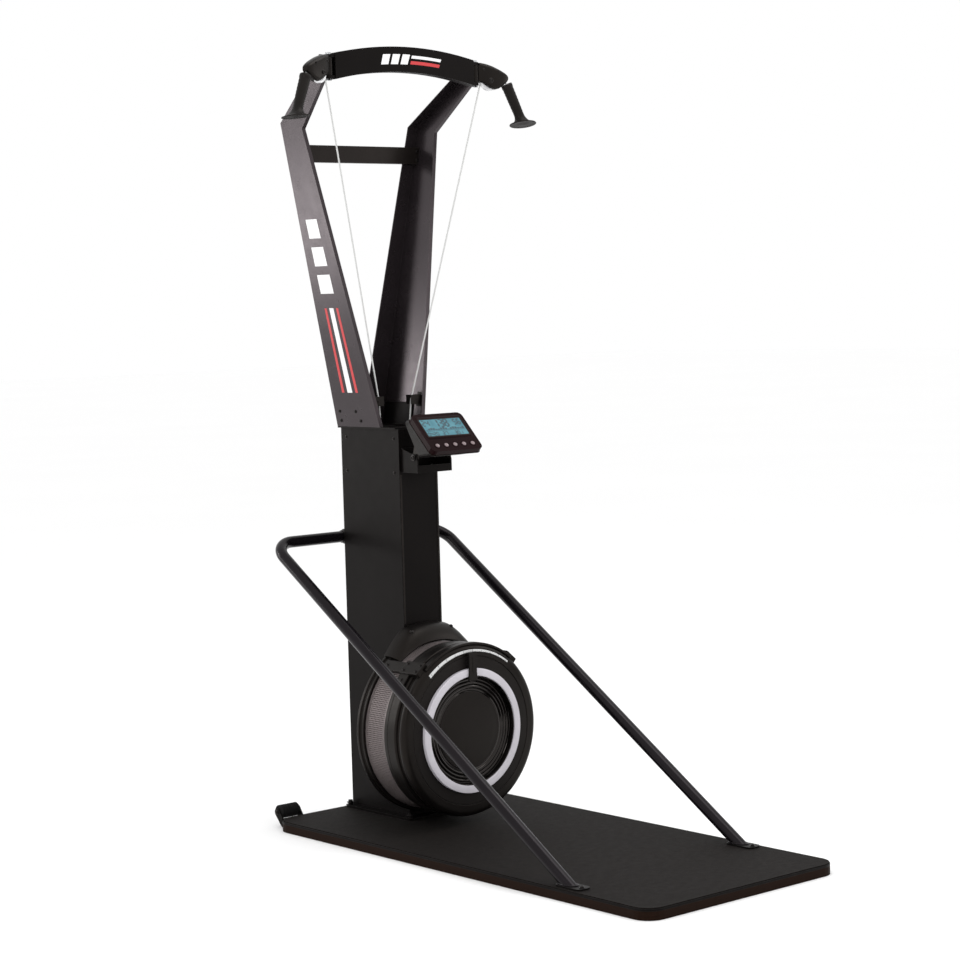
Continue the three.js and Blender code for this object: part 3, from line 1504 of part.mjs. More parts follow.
// Console. Its own frame: X across, Y up along the face, Z out of the face.
function buildConsole() {
  const consoleGroup = new THREE.Group();
  const faceMiddle = columnFront - consoleFaceForward;
  consoleGroup.position.set(0, faceMiddle, consoleFaceMiddleHeight);
  consoleGroup.rotation.x = consoleFaceAngle * DEG;
  machine.add(consoleGroup);

  const outline = roundedRectangle(consoleWidth, consoleFaceHeight, consoleCornerRadius, 4);
  const front = plateZ(outline, -consoleFrontDepth, 0);
  const pocket = plateZ(
    roundedRectangle(
      consoleWidth - 2 * consoleWall, consoleFaceHeight - 2 * consoleWall,
      consoleCornerRadius - consoleWall, 4),
    -consoleFrontDepth - cutOverrun, -consoleWall);
  const window = block(
    [-screenWidth / 2, screenWidth / 2],
    [screenShift - screenHeight / 2, screenShift + screenHeight / 2],
    [-consoleFrontDepth, cutOverrun]);
  const holes = [];
  for (let i = 0; i < buttonCount; i += 1) {
    const x = (i - (buttonCount - 1) / 2) * buttonSpacing;
    holes.push(rod(
      buttonRadius + seatGap, vec(x, -buttonShift, -consoleFrontDepth), vec(x, -buttonShift, cutOverrun)));
    const button = rod(
      buttonRadius,
      vec(x, -buttonShift, buttonProud - buttonThickness), vec(x, -buttonShift, buttonProud));
    place(`console_button_${i + 1}`, button, "button", consoleGroup);
  }
  place("console_front", cut(front, pocket, window, ...holes), "blackPlastic", consoleGroup);
  const screen = block(
    [-screenWidth / 2 + seatGap, screenWidth / 2 - seatGap],
    [screenShift - screenHeight / 2 + seatGap, screenShift + screenHeight / 2 - seatGap],
    [-screenRecess - screenThickness, -screenRecess]);
  place("console_screen", screen, "screen", consoleGroup);

  // Rear shell: lofted from the front's outline to a smaller, deeper back
  const joint = -consoleFrontDepth - seatGap;
  const backHeight = consoleBackTopReach + consoleBackBottomReach;
  const backMiddle = (consoleBackTopReach - consoleBackBottomReach) / 2;
  const slant = (consoleBackBottomDepth - consoleBackTopDepth) / backHeight;
  const backRing = (inset) => roundedRectangle(
    consoleBackWidth - 2 * inset, backHeight - 2 * inset, consoleCornerRadius - inset, 4)
    .map(([x, y]) => {
      const depth = consoleBackTopDepth + slant * (backHeight / 2 - y) - inset;
      return vec(x, backMiddle + y, -depth);
    });
  const frontRing = (inset, z) => roundedRectangle(
    consoleWidth - 2 * inset, consoleFaceHeight - 2 * inset, consoleCornerRadius - inset, 4)
    .map(([x, y]) => vec(x, y, z));
  const outer = loft([backRing(0), frontRing(0, joint)], outline);
  const inner = loft([backRing(consoleWall), frontRing(consoleWall, joint + seatGap / 2)], outline);
  const rear = cut(outer, inner);

  // Hinge lugs, in the machine's own frame, turned back into the console's
  const toConsole = new THREE.Matrix4().makeRotationX(-consoleFaceAngle * DEG);
  toConsole.multiply(new THREE.Matrix4().makeTranslation(0, -faceMiddle, -consoleFaceMiddleHeight));
  const hingePlace = columnFront - hingeForward;
  const lugOut = bracketWidth / 2 - bracketWall - seatGap;
  const lugIn = lugOut - hingeLugThickness;
  const lugs = [];
  for (const side of [-1, 1]) {
    const [x0, x1] = [Math.min(side * lugIn, side * lugOut), Math.max(side * lugIn, side * lugOut)];
    const eye = rod(hingeLugRadius, vec(x0, hingePlace, hingeHeight), vec(x1, hingePlace, hingeHeight));
    const web = plateX([
      [hingePlace - hingeLugRadius, hingeHeight],
      [hingePlace + hingeLugRadius, hingeHeight],
      [hingePlace - hingeLugRootInset, hingeHeight + hingeLugRootRise],
      [hingePlace - hingeLugRootReach, hingeHeight + hingeLugRootRise - hingeLugRootInset],
    ], x0, x1);
    const hole = rod(
      hingePinRadius + seatGap,
      vec(x0 - cutOverrun, hingePlace, hingeHeight), vec(x1 + cutOverrun, hingePlace, hingeHeight));
    const lug = cut(join(eye, web), hole);
    lugs.push(lug.applyMatrix4(toConsole));
  }
  const lugged = join(rear, ...lugs.map((lug) => cut(lug, inner)));
  place("console_rear", lugged, "blackPlastic", consoleGroup);

  buildConsoleBracket(hingePlace);
}

function buildConsoleBracket(hingePlace) {
  const half = bracketWidth / 2;
  const rear = columnFront - seatGap;
  const low = bracketBottomHeight;
  const plate = block([-half, half], [rear - bracketWall, rear], [low, low + bracketPlateHeight]);
  const floor = block([-half, half], [rear - bracketFloorReach, rear], [low, low + bracketWall]);
  const front = rear - bracketFloorReach;
  const lip = block([-half, half], [front, front + bracketWall], [low, low + bracketLipHeight]);
  const ears = [];
  for (const side of [-1, 1]) {
    const [x0, x1] = [
      Math.min(side * half, side * (half - bracketWall)),
      Math.max(side * half, side * (half - bracketWall)),
    ];
    ears.push(plateX([
      [rear - bracketFloorReach, low],
      [rear, low],
      [rear, low + bracketPlateHeight],
      [hingePlace + hingeLugRadius, hingeHeight + hingeLugRadius],
      [hingePlace - hingeLugRadius, hingeHeight + hingeLugRadius],
      [rear - bracketFloorReach, hingeHeight - hingeLugRadius],
    ], x0, x1));
  }
  const pin = rod(
    hingePinRadius, vec(-half - bracketWall, hingePlace, hingeHeight),
    vec(half + bracketWall, hingePlace, hingeHeight));
  place("console_bracket", join(plate, floor, lip, ...ears, pin), "powderCoat");
}

buildBase();
buildColumn();
buildYoke();
buildArms();
buildTopBeam();
buildHeads();
buildDriveCords();
buildGuides();
buildHandrail();
buildWheels();
buildHousing();
buildFront();
buildCowl();
buildFan();
buildDrive();
buildBungees();
buildConsole();

export default machine;
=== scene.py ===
# Looks of the ski trainer machine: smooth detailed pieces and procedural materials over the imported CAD.
# Lengths in this file are millimetres in the CAD's own frame, and become metres in the mesh code.
# Sides are as the user stands: X to the right, Y away from the user, Z up.

import json
import math

import bmesh
import bpy
from mathutils import Matrix, Vector


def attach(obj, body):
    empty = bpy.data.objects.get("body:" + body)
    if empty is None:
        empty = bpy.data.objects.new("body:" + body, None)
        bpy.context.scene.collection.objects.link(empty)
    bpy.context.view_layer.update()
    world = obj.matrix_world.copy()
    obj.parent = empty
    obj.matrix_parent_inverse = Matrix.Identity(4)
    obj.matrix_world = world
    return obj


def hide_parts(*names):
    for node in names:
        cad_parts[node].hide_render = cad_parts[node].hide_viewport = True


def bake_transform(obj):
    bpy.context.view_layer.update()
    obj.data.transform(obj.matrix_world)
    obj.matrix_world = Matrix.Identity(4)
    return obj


MM = 0.001
DEG = math.pi / 180
RIGHT = (1, 0, 0)
LEFT = (-1, 0, 0)
BACK = (0, 1, 0)
FORWARD = (0, -1, 0)
UP = (0, 0, 1)
DOWN = (0, 0, -1)

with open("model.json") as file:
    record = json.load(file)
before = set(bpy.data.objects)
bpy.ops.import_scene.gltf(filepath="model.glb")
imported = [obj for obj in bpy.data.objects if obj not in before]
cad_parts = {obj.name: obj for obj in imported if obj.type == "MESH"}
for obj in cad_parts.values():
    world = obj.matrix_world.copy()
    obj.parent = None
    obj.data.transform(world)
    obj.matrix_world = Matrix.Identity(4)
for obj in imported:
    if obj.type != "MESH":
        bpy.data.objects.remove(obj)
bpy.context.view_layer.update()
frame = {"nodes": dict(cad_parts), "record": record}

# Camera, fitted to the photograph
IMAGE_WIDTH = 960
FOCAL_PIXELS = 2429.56
CAMERA_PLACE = (-4.2242, -4.6951, 1.4563)
CAMERA_AZIMUTH = -40.737
CAMERA_PITCH = 4.281
CAMERA_ROLL = 1.606

# Places shared with the CAD
COLUMN_REAR = 722.5
COLUMN_FRONT = 467.5
COLUMN_HALF = 68
COLUMN_TOP = 1105
PLATFORM_TOP = 30
AXIS = 288
SWIVEL_X = 256
SWIVEL_Y = COLUMN_FRONT + 14
SWIVEL_Z = 2080
GUIDE_X = 57
GUIDE_Y = COLUMN_FRONT + 93.5
GUIDE_Z = COLUMN_TOP + 75
CORD_RADIUS = 2.2
DRUM_STARTS = {"left": 50, "right": 86}
DRUM_HALF = 12
SIDES = ((1, "right"), (-1, "left"))


def new_camera():
    data = bpy.data.cameras.new("photo_camera")
    data.sensor_width = 36
    data.lens = FOCAL_PIXELS / IMAGE_WIDTH * data.sensor_width
    data.clip_end = 100
    camera = bpy.data.objects.new("photo_camera", data)
    bpy.context.scene.collection.objects.link(camera)
    azimuth, pitch, roll = CAMERA_AZIMUTH * DEG, CAMERA_PITCH * DEG, CAMERA_ROLL * DEG
    level = math.cos(pitch)
    ahead = Vector((-math.sin(azimuth) * level, math.cos(azimuth) * level, -math.sin(pitch)))
    right = Vector((math.cos(azimuth), math.sin(azimuth), 0))
    down = ahead.cross(right)
    across = math.cos(roll) * right + math.sin(roll) * down
    up = math.sin(roll) * right - math.cos(roll) * down
    turn = Matrix((across, up, -ahead)).transposed().to_4x4()
    camera.matrix_world = Matrix.Translation(CAMERA_PLACE) @ turn
    bpy.context.scene.camera = camera


# Materials


class Surface:
    """A material whose nodes are added by short calls."""

    def __init__(self, name, roughness, specular=0.5, tint=(1, 1, 1), metallic=0, coat=0,
                 coat_roughness=0.1):
        self.material = bpy.data.materials.new(name)
        self.material.use_nodes = True
        self.tree = self.material.node_tree
        self.shader = self.tree.nodes["Principled BSDF"]
        for key, value in (
            ("Roughness", roughness),
            ("Specular IOR Level", specular),
            ("Specular Tint", (*tint, 1)),
            ("Metallic", metallic),
            ("Coat Weight", coat),
            ("Coat Roughness", coat_roughness),
        ):
            self.shader.inputs[key].default_value = value
        self.place = self.node("TexCoord").outputs["Object"]
        self.normal = None

    def node(self, kind, values=None, links=None, **settings):
        """A new node with its input values, its incoming links and its own settings."""
        node = self.tree.nodes.new("ShaderNode" + kind)
        for key, value in settings.items():
            setattr(node, key, value)
        for key, value in (values or {}).items():
            node.inputs[key].default_value = value
        for key, socket in (links or {}).items():
            self.tree.links.new(socket, node.inputs[key])
        return node

    def stretched(self, scale):
        return self.node("Mapping", {"Scale": scale}, {"Vector": self.place}).outputs["Vector"]

    def noise(self, scale, detail, vector=None):
        values = {"Scale": scale, "Detail": detail}
        return self.node("TexNoise", values, {"Vector": vector or self.place}).outputs["Fac"]

    def cells(self, scale):
        return self.node("TexVoronoi", {"Scale": scale}, {"Vector": self.place}).outputs["Distance"]

    def waves(self, scale, distortion):
        values = {"Scale": scale, "Distortion": distortion}
        return self.node("TexWave", values, {"Vector": self.place}, bands_direction="Z").outputs["Fac"]

    def colour(self, factor, dark, light, ends=(0.3, 0.7)):
        """Runs the base colour from dark to light between two values of the factor."""
        ramp = self.node("ValToRGB", links={"Fac": factor})
        for element, place, colour in zip(ramp.color_ramp.elements, ends, (dark, light)):
            element.position = place
            element.color = (*colour, 1)
        self.tree.links.new(ramp.outputs["Color"], self.shader.inputs["Base Color"])

    def shade(self, factor, colour, low, high, ends=(0.3, 0.7)):
        """Varies the base colour between two shares of itself."""
        dark, light = (tuple(min(1.0, c * share) for c in colour) for share in (low, high))
        self.colour(factor, dark, light, ends)

    def roughness(self, factor, low, high):
        node = self.node("MapRange", {"To Min": low, "To Max": high}, {"Value": factor})
        self.tree.links.new(node.outputs["Result"], self.shader.inputs["Roughness"])

    def bump(self, height, strength, distance):
        links = {"Height": height}
        if self.normal:
            links["Normal"] = self.normal
        values = {"Strength": strength, "Distance": distance}
        self.normal = self.node("Bump", values, links).outputs["Normal"]
        self.tree.links.new(self.normal, self.shader.inputs["Normal"])

    def worn_edges(self, colour, width, strength):
        """Paints the base colour lighter in patches along the edges, partly as wear and partly as a painted
        edge highlight.
        """
        rounded_normal = self.node("Bevel", {"Radius": width * MM}, samples=4).outputs["Normal"]
        flat_normal = self.node("NewGeometry").outputs["Normal"]
        normals = {0: rounded_normal, 1: flat_normal}
        likeness = self.node("VectorMath", links=normals, operation="DOT_PRODUCT").outputs["Value"]
        edge = self.node("MapRange", {"From Min": 0.985, "From Max": 0.88}, {"Value": likeness})
        limits = {"From Min": 0.42, "From Max": 0.62, "To Min": 0.25 * strength, "To Max": strength}
        patches = self.node("MapRange", limits, {"Value": self.noise(38, 5)})
        factors = {0: edge.outputs["Result"], 1: patches.outputs["Result"]}
        amount = self.node("Math", links=factors, operation="MULTIPLY").outputs["Value"]
        base = self.shader.inputs["Base Color"]
        links = {"Fac": amount, "Color1": base.links[0].from_socket}
        mix = self.node("MixRGB", {"Color2": (*colour, 1)}, links)
        self.tree.links.new(mix.outputs["Color"], base)


def powder_coat(name, colour, roughness=0.42, specular=0.07, tint=(1, 0.9, 0.84)):
    surface = Surface(name, roughness, specular, tint)
    surface.shade(surface.noise(7, 4), colour, 0.8, 1.25)
    surface.roughness(surface.noise(30, 3), roughness - 0.05, roughness + 0.06)
    surface.bump(surface.noise(900, 2), 0.1, 0.0002)
    surface.bump(surface.noise(180, 2), 0.05, 0.0005)
    # Lighter edges: partly wear, partly a painted edge highlight.
    surface.worn_edges((0.05, 0.047, 0.046), 1.6, 0.6)
    return surface.material


def grained_plastic(name, colour, roughness):
    surface = Surface(name, roughness, 0.16, (1, 0.87, 0.78))
    surface.shade(surface.noise(12, 4), colour, 0.85, 1.2)
    surface.roughness(surface.noise(60, 2), roughness - 0.05, roughness + 0.06)
    surface.bump(surface.cells(1100), 0.14, 0.0002)
    # Lighter edges: partly wear, partly a painted edge highlight.
    surface.worn_edges((0.03, 0.027, 0.026), 1.2, 0.5)
    return surface.material


def gloss_plastic(name, colour, roughness, specular):
    surface = Surface(name, roughness, specular, (1, 0.9, 0.85))
    surface.shade(surface.noise(9, 3), colour, 0.9, 1.15)
    surface.roughness(surface.noise(45, 5), roughness * 0.7, roughness * 1.5)
    surface.bump(surface.noise(25, 1), 0.02, 0.001)
    return surface.material


def mat_rubber(name, colour):
    surface = Surface(name, 0.78, 0.11, (1, 0.9, 0.85))
    surface.shade(surface.noise(55, 6), colour, 0.85, 1.15)
    surface.roughness(surface.noise(60, 4), 0.7, 0.84)
    surface.bump(surface.cells(420), 0.5, 0.0006)
    surface.bump(surface.noise(1300, 2), 0.2, 0.0002)
    return surface.material


def pressed_board(name, colour):
    surface = Surface(name, 0.62, 0.07, (1, 0.72, 0.56))
    streaks = surface.noise(60, 6, surface.stretched((1, 1, 14)))
    surface.shade(streaks, colour, 0.7, 1.5, (0.3, 0.75))
    surface.roughness(streaks, 0.55, 0.7)
    surface.bump(surface.noise(700, 3), 0.2, 0.0003)
    return surface.material


def brushed_metal(name, colour, roughness=0.3, along=(1, 30, 1), metallic=1.0):
    surface = Surface(name, roughness, metallic=metallic)
    lines = surface.noise(30, 5, surface.stretched(along))
    surface.shade(lines, colour, 0.82, 1.1, (0.25, 0.8))
    surface.roughness(lines, roughness - 0.07, roughness + 0.1)
    surface.bump(lines, 0.05, 0.0002)
    return surface.material


def satin_paint(name, colour, roughness=0.35):
    surface = Surface(name, roughness, coat=0.15)
    surface.shade(surface.noise(18, 4), colour, 0.95, 1.04)
    surface.roughness(surface.noise(80, 3), roughness - 0.05, roughness + 0.07)
    surface.bump(surface.noise(1200, 2), 0.08, 0.0002)
    return surface.material


def braid(name, colour, dark_share=0.7):
    surface = Surface(name, 0.75, 0.3)
    across = surface.waves(420, 1.5)
    surface.shade(across, colour, dark_share, 1.05, (0.2, 0.7))
    surface.bump(across, 0.6, 0.0004)
    surface.bump(surface.noise(1500, 2), 0.3, 0.0002)
    return surface.material


def liquid_screen(name):
    surface = Surface(name, 0.16, 0.2, coat=0.3, coat_roughness=0.04)
    surface.colour(surface.noise(35, 4), (0.043, 0.145, 0.182), (0.082, 0.228, 0.270), (0.25, 0.75))
    surface.shader.inputs["Emission Color"].default_value = (0.14, 0.52, 0.68, 1)
    surface.shader.inputs["Emission Strength"].default_value = 0.06
    surface.bump(surface.cells(1800), 0.05, 0.0001)
    return surface.material


COAT = powder_coat("powder_coat", (0.0030, 0.0024, 0.0024))
# The arms wear a glossier copy of the powder coat whose base colour is also lifted above the column's as a
# painted sheen.
COAT_ARM_SHEEN = powder_coat("powder_coat_arm_sheen", (0.0125, 0.0102, 0.0112), 0.25, 0.42, (1, 0.82, 0.88))
COAT_BAR = powder_coat("powder_coat_bar", (0.0070, 0.0056, 0.0050), 0.4, 0.16, (1, 0.86, 0.8))
COAT_RAIL = powder_coat("powder_coat_rail", (0.0044, 0.0036, 0.0046), 0.2, 0.17, (1, 0.9, 0.94))
PLASTIC = grained_plastic("black_plastic", (0.004, 0.0034, 0.0032), 0.36)
PLASTIC_SOFT = grained_plastic("soft_plastic", (0.0055, 0.005, 0.005), 0.5)
BEZEL = gloss_plastic("bezel_plastic", (0.0098, 0.0034, 0.0040), 0.2, 0.038)
GLOSS = gloss_plastic("gloss_black", (0.003, 0.0026, 0.0024), 0.09, 0.34)
MAT = mat_rubber("rubber_mat", (0.0066, 0.0054, 0.0050))
WHEEL_RUBBER = mat_rubber("wheel_rubber", (0.009, 0.009, 0.0095))
BOARD = pressed_board("brown_board", (0.0095, 0.0044, 0.0029))
BAND = brushed_metal("silver_band", (0.175, 0.148, 0.146), 0.42, (30, 1, 30), 0.8)
PULLEY = brushed_metal("pulley_silver", (0.70, 0.70, 0.71), 0.28, (6, 6, 6), 0.9)
STEEL = brushed_metal("plain_steel", (0.50, 0.51, 0.52))
SCREW = brushed_metal("screw_steel", (0.034, 0.031, 0.030), 0.32)
FAN = brushed_metal("fan_steel", (0.33, 0.33, 0.34), 0.42)
RING = satin_paint("pale_ring", (0.60, 0.575, 0.62))
SCALE = satin_paint("scale_white", (0.70, 0.70, 0.70), 0.4)
INK = satin_paint("scale_ink", (0.02, 0.02, 0.02), 0.5)
STRIPE_WHITE = satin_paint("stripe_white", (0.80, 0.80, 0.80), 0.45)
STRIPE_RED = satin_paint("stripe_red", (0.52, 0.018, 0.022), 0.45)
CORD = braid("white_cord", (0.71, 0.71, 0.70))
BUNGEE = braid("dark_bungee", (0.03, 0.03, 0.032), 0.4)
SCREEN = liquid_screen("pale_screen")
LCD_INK = satin_paint("lcd_ink", (0.011, 0.042, 0.060), 0.5)
# The pale colour of the button caps is a painted highlight; the buttons themselves are dark reddish, like
# their rings.
BUTTON_HIGHLIGHT = satin_paint("grey_button", (0.20, 0.145, 0.15), 0.18)

# The looks of each material slot; the CAD nodes of a slot wear the first one
LOOKS = {
    "powder_coat": (COAT, COAT_ARM_SHEEN, COAT_BAR, COAT_RAIL, STRIPE_RED),
    "black_plastic": (PLASTIC, PLASTIC_SOFT, BEZEL, INK),
    "gloss_black": (GLOSS,),
    "rubber_mat": (MAT, WHEEL_RUBBER),
    "brown_board": (BOARD,),
    "silver_band": (BAND, PULLEY),
    "pale_ring": (RING, SCALE, STRIPE_WHITE),
    "plain_steel": (STEEL, SCREW, FAN),
    "white_cord": (CORD,),
    "dark_bungee": (BUNGEE,),
    "pale_screen": (SCREEN, LCD_INK),
    "grey_button": (BUTTON_HIGHLIGHT,),
}
SLOT_OF = {look: slot for slot, looks in LOOKS.items() for look in looks}
# CAD nodes that wear another look of their slot
SPECIAL_LOOKS = {
    "console_front": BEZEL,
    "arm_left": COAT_ARM_SHEEN,
    "arm_right": COAT_ARM_SHEEN,
    "arm_crossbar": COAT_BAR,
}


# Mesh code


def metres(point):
    return tuple(c * MM for c in point)


def radial(angle):
    """The unit vector at an angle in degrees, from X toward Z."""
    return Vector((math.cos(angle * DEG), 0, math.sin(angle * DEG)))


def new_object(name, verts, faces):
    """A mesh object from points in millimetres, with doubles merged and faces turned outward."""
    mesh = bpy.data.meshes.new(name)
    mesh.from_pydata([metres(v) for v in verts], [], faces)
    edit = bmesh.new()
    edit.from_mesh(mesh)
    bmesh.ops.remove_doubles(edit, verts=edit.verts, dist=0.5e-5)
    bmesh.ops.recalc_face_normals(edit, faces=edit.faces)
    edit.to_mesh(mesh)
    edit.free()
    thing = bpy.data.objects.new(name, mesh)
    bpy.context.scene.collection.objects.link(thing)
    return thing


def smooth(thing, sharp):
    """Smooth shading, except at edges that bend by more than some degrees."""
    mesh = thing.data
    mesh.polygons.foreach_set("use_smooth", [True] * len(mesh.polygons))
    mesh.set_sharp_from_angle(angle=sharp * DEG)


def rounded(thing, width, steps=2, angle=30):
    modifier = thing.modifiers.new("edges", "BEVEL")
    modifier.width = width * MM
    modifier.segments = steps
    modifier.limit_method = "ANGLE"
    modifier.angle_limit = angle * DEG
    modifier.harden_normals = True
    modifier.use_clamp_overlap = True


def piece(name, shape, material, body="frame", hides=(), bevel=0.0, bevel_steps=2, sharp=32, ride=True):
    """A visible piece of a shape, its points and faces, which rides on a body and stands for CAD nodes."""
    thing = new_object(name, *shape)
    smooth(thing, sharp)
    thing.data.materials.append(material)
    if bevel:
        rounded(thing, bevel, bevel_steps)
    if ride:
        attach(thing, body)
    if hides:
        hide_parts(*hides)
    return thing


def together(shapes):
    verts, faces = [], []
    for some_verts, some_faces in shapes:
        start = len(verts)
        verts += [Vector(v) for v in some_verts]
        faces += [tuple(start + k for k in face) for face in some_faces]
    return verts, faces


def skin(rings, closed=False, caps=True):
    """A shape through rings of equally many points: closed on itself, capped at its ends, or open."""
    count = len(rings[0])
    verts = [Vector(v) for ring in rings for v in ring]
    faces = []
    for row in range(len(rings) if closed else len(rings) - 1):
        this, after = row * count, (row + 1) % len(rings) * count
        for k in range(count):
            j = (k + 1) % count
            faces.append((this + k, this + j, after + j, after + k))
    if caps and not closed:
        faces += [tuple(range(count)), tuple(range(len(verts) - count, len(verts)))]
    return verts, faces


def box(low, high, place=lambda x, y, z: Vector((x, y, z))):
    """A block between two corners, its points set by a function of their three distances."""
    (x0, y0, z0), (x1, y1, z1) = low, high
    verts = [place(x, y, z) for x in (x0, x1) for y in (y0, y1) for z in (z0, z1)]
    return verts, [(0, 1, 3, 2), (4, 6, 7, 5), (0, 4, 5, 1), (2, 3, 7, 6), (0, 2, 6, 4), (1, 5, 7, 3)]


def basis(direction):
    """Two unit vectors square to a direction and to each other."""
    ahead = Vector(direction).normalized()
    side = ahead.cross(Vector(UP))
    if side.length < 1e-4:
        side = Vector(RIGHT)
    side.normalize()
    return side, side.cross(ahead).normalized()


def circle(middle, side, up, radius, count):
    """Points on a circle round the middle, in the plane of the unit vectors side and up."""
    angles = [2 * math.pi * i / count for i in range(count)]
    return [middle + side * (radius * math.cos(a)) + up * (radius * math.sin(a)) for a in angles]


def turned_shape(profile, origin, direction, segments=96):
    """A closed profile of (radius, distance along) turned about an axis."""
    ahead = Vector(direction).normalized()
    side, up = basis(direction)
    verts, faces, rings = [], [], []
    for radius, along in profile:
        spot = Vector(origin) + ahead * along
        if radius < 1e-6:
            rings.append([len(verts)] * segments)
            verts.append(spot)
            continue
        rings.append(range(len(verts), len(verts) + segments))
        verts += circle(spot, side, up, radius, segments)
    for row, first in enumerate(rings):
        second = rings[(row + 1) % len(rings)]
        if first[0] == first[1] and second[0] == second[1]:
            continue
        for i in range(segments):
            j = (i + 1) % segments
            quad = [first[i], first[j], second[j], second[i]]
            faces.append([v for k, v in enumerate(quad) if v != quad[k - 1]])
    return verts, faces


def turned(name, profile, origin, direction, segments, material, body="frame", **options):
    return piece(name, turned_shape(profile, origin, direction, segments), material, body, **options)


def mirrored(half, between=(), about=0):
    """A profile that is the same from both its ends, from its first half and what lies between."""
    return half + list(between) + [(radius, 2 * about - along) for radius, along in reversed(half)]


def eased(share):
    """A share that starts and ends gently on its way from 0 to 1."""
    return share * share * (3 - 2 * share)


def spread(start, end, steps):
    """Equally spaced values from start to end."""
    return [start + (end - start) * i / steps for i in range(steps + 1)]


def oval(width, height, centre, angles):
    """Points of a flat outline or profile on an oval of two radii, at angles in degrees."""
    return [(centre[0] + width * math.cos(a * DEG), centre[1] + height * math.sin(a * DEG)) for a in angles]


def arc(radius, centre, start, end, steps):
    return oval(radius, radius, centre, spread(start, end, steps))


def route(corners, radii, steps, spacing=None):
    """A line of points through corners that are rounded to the given radii."""
    corners = [Vector(c) for c in corners]
    points = [corners[0]]
    for i, radius in enumerate(radii, start=1):
        into = (corners[i] - corners[i - 1]).normalized()
        out = (corners[i + 1] - corners[i]).normalized()
        bend = into.angle(out)
        inward = (out - into * into.dot(out)).normalized()
        start = corners[i] - into * (radius * math.tan(bend / 2))
        centre = start + inward * radius
        for angle in spread(0, bend, steps):
            points.append(centre - inward * (radius * math.cos(angle)) + into * (radius * math.sin(angle)))
    points.append(corners[-1])
    if not spacing:
        return points
    filled = [points[0]]
    for point in points[1:]:
        before = filled[-1].copy()
        count = max(1, round((point - before).length / spacing))
        filled += [before.lerp(point, (k + 1) / count) for k in range(count)]
    return filled


def tube(name, points, radius, sides, material, body="frame", sharp=80, **options):
    """A closed round tube along a line of points; its ring of points is carried along the line."""
    points = [Vector(p) for p in points]
    last = len(points) - 1
    headings = [(points[min(i + 1, last)] - points[max(i - 1, 0)]).normalized() for i in range(last + 1)]
    side, _ = basis(headings[0])
    rings = []
    for spot, ahead in zip(points, headings):
        side = (side - ahead * side.dot(ahead)).normalized()
        rings.append(circle(spot, side, side.cross(ahead), radius, sides))
    return piece(name, skin(rings), material, body, sharp=sharp, **options)


def plate_shape(outline, origin, across, up, depth):
    """A flat outline pushed along across x up by its depth."""
    origin, across, up = Vector(origin), Vector(across).normalized(), Vector(up).normalized()
    out = across.cross(up).normalized() * depth
    base = [origin + across * x + up * y for x, y in outline]
    return skin([base, [p + out for p in base]])


def rounded_outline(width, height, radius, steps, middle=(0, 0)):
    points = []
    for sx, sy, start in ((1, 1, 0), (-1, 1, 90), (-1, -1, 180), (1, -1, 270)):
        corner = (middle[0] + sx * (width / 2 - radius), middle[1] + sy * (height / 2 - radius))
        points += arc(radius, corner, start, start + 90, steps)
    return points


# Screws, with the radius and the height of their heads

HEAD_SCREW = (2.6, 1.6)
COLUMN_SCREW = (3.0, 1.8)
COVER_SCREW = (3.2, 2.2)
ARM_SCREW = (3.4, 2.2)
BRACKET_SCREW = (3.6, 2.4)
HOOD_SCREW = (4.2, 2.6)
FOOT_SCREW = (5.2, 3.4)
PULLEY_CAP = (5.2, 3.0)
WHEEL_CAP = (4.6, 3.0)
HINGE_CAP = (6.0, 3.4)
CLAMP_BOLT = (4.4, 3)
PLATE_BOLT = (7, 6)
WASHER_SINK = -0.4


def screw_shape(spot, out, radius, height):
    """A domed socket screw head on a thin washer, standing on a face whose normal is out."""
    rim, base = radius * 1.45, 1.2
    profile = [(0, WASHER_SINK), (rim, WASHER_SINK), (rim, 0.9), (rim - 0.5, base), (radius, base)]
    head_shares = ((1, 0.55), (0.86, 0.86), (0.6, 1), (0.5, 1), (0.44, 0.45), (0, 0.45))
    profile += [(radius * across, base + height * up) for across, up in head_shares]
    return turned_shape(profile, spot, out, 24)


def hex_shape(spot, out, radius, height):
    """A hexagon bolt head with a chamfered crown on a washer."""
    rim, base, thickness = radius * 1.5, 1.2, 1.3
    washer = [(0, WASHER_SINK), (rim, WASHER_SINK), (rim, 1.0), (rim - 0.5, thickness), (0, thickness)]
    head_shares = ((0, 0), (1, 0), (1, 0.85), (0.84, 1), (0, 1))
    head = [(radius * across, base + height * up) for across, up in head_shares]
    return together([turned_shape(washer, spot, out, 28), turned_shape(head, spot, out, 6)])


def screws(name, places, out, size, body="frame", shape=screw_shape):
    piece(name, together([shape(spot, out, *size) for spot in places]), SCREW, body, sharp=30)


# Pulley heads' places, and the cords

HEAD_ANGLE = 15
PULLEY_REACH = 43
PULLEY_Z = SWIVEL_Z - 19
MOUTH = Vector((95, 0, SWIVEL_Z - 20.5))
HANDLE_LEAN = 23.8
HANDLE_GAP = 8
HANDLE_HEADING = Vector((math.sin(HANDLE_LEAN * DEG), 0, -math.cos(HANDLE_LEAN * DEG)))
HANDLE_NECK = MOUTH + HANDLE_HEADING * HANDLE_GAP
CORD_WRAP = 24 + CORD_RADIUS + 0.3
DRUM_SIDE = -42
CORD_DROP = Vector((0, 0, 8))
CORD_BEND = 10
MOUTH_BEND = 9
# Where the cords begin and end to stretch: over the guide, under the pulley, past the mouth, at the neck
OVER_GUIDE = Vector((0, 0, 20))
UNDER_PULLEY = Vector((0, 0, -9))
PAST_MOUTH = MOUTH + HANDLE_HEADING * 4.2
AT_NECK = HANDLE_NECK - HANDLE_HEADING * 0.3


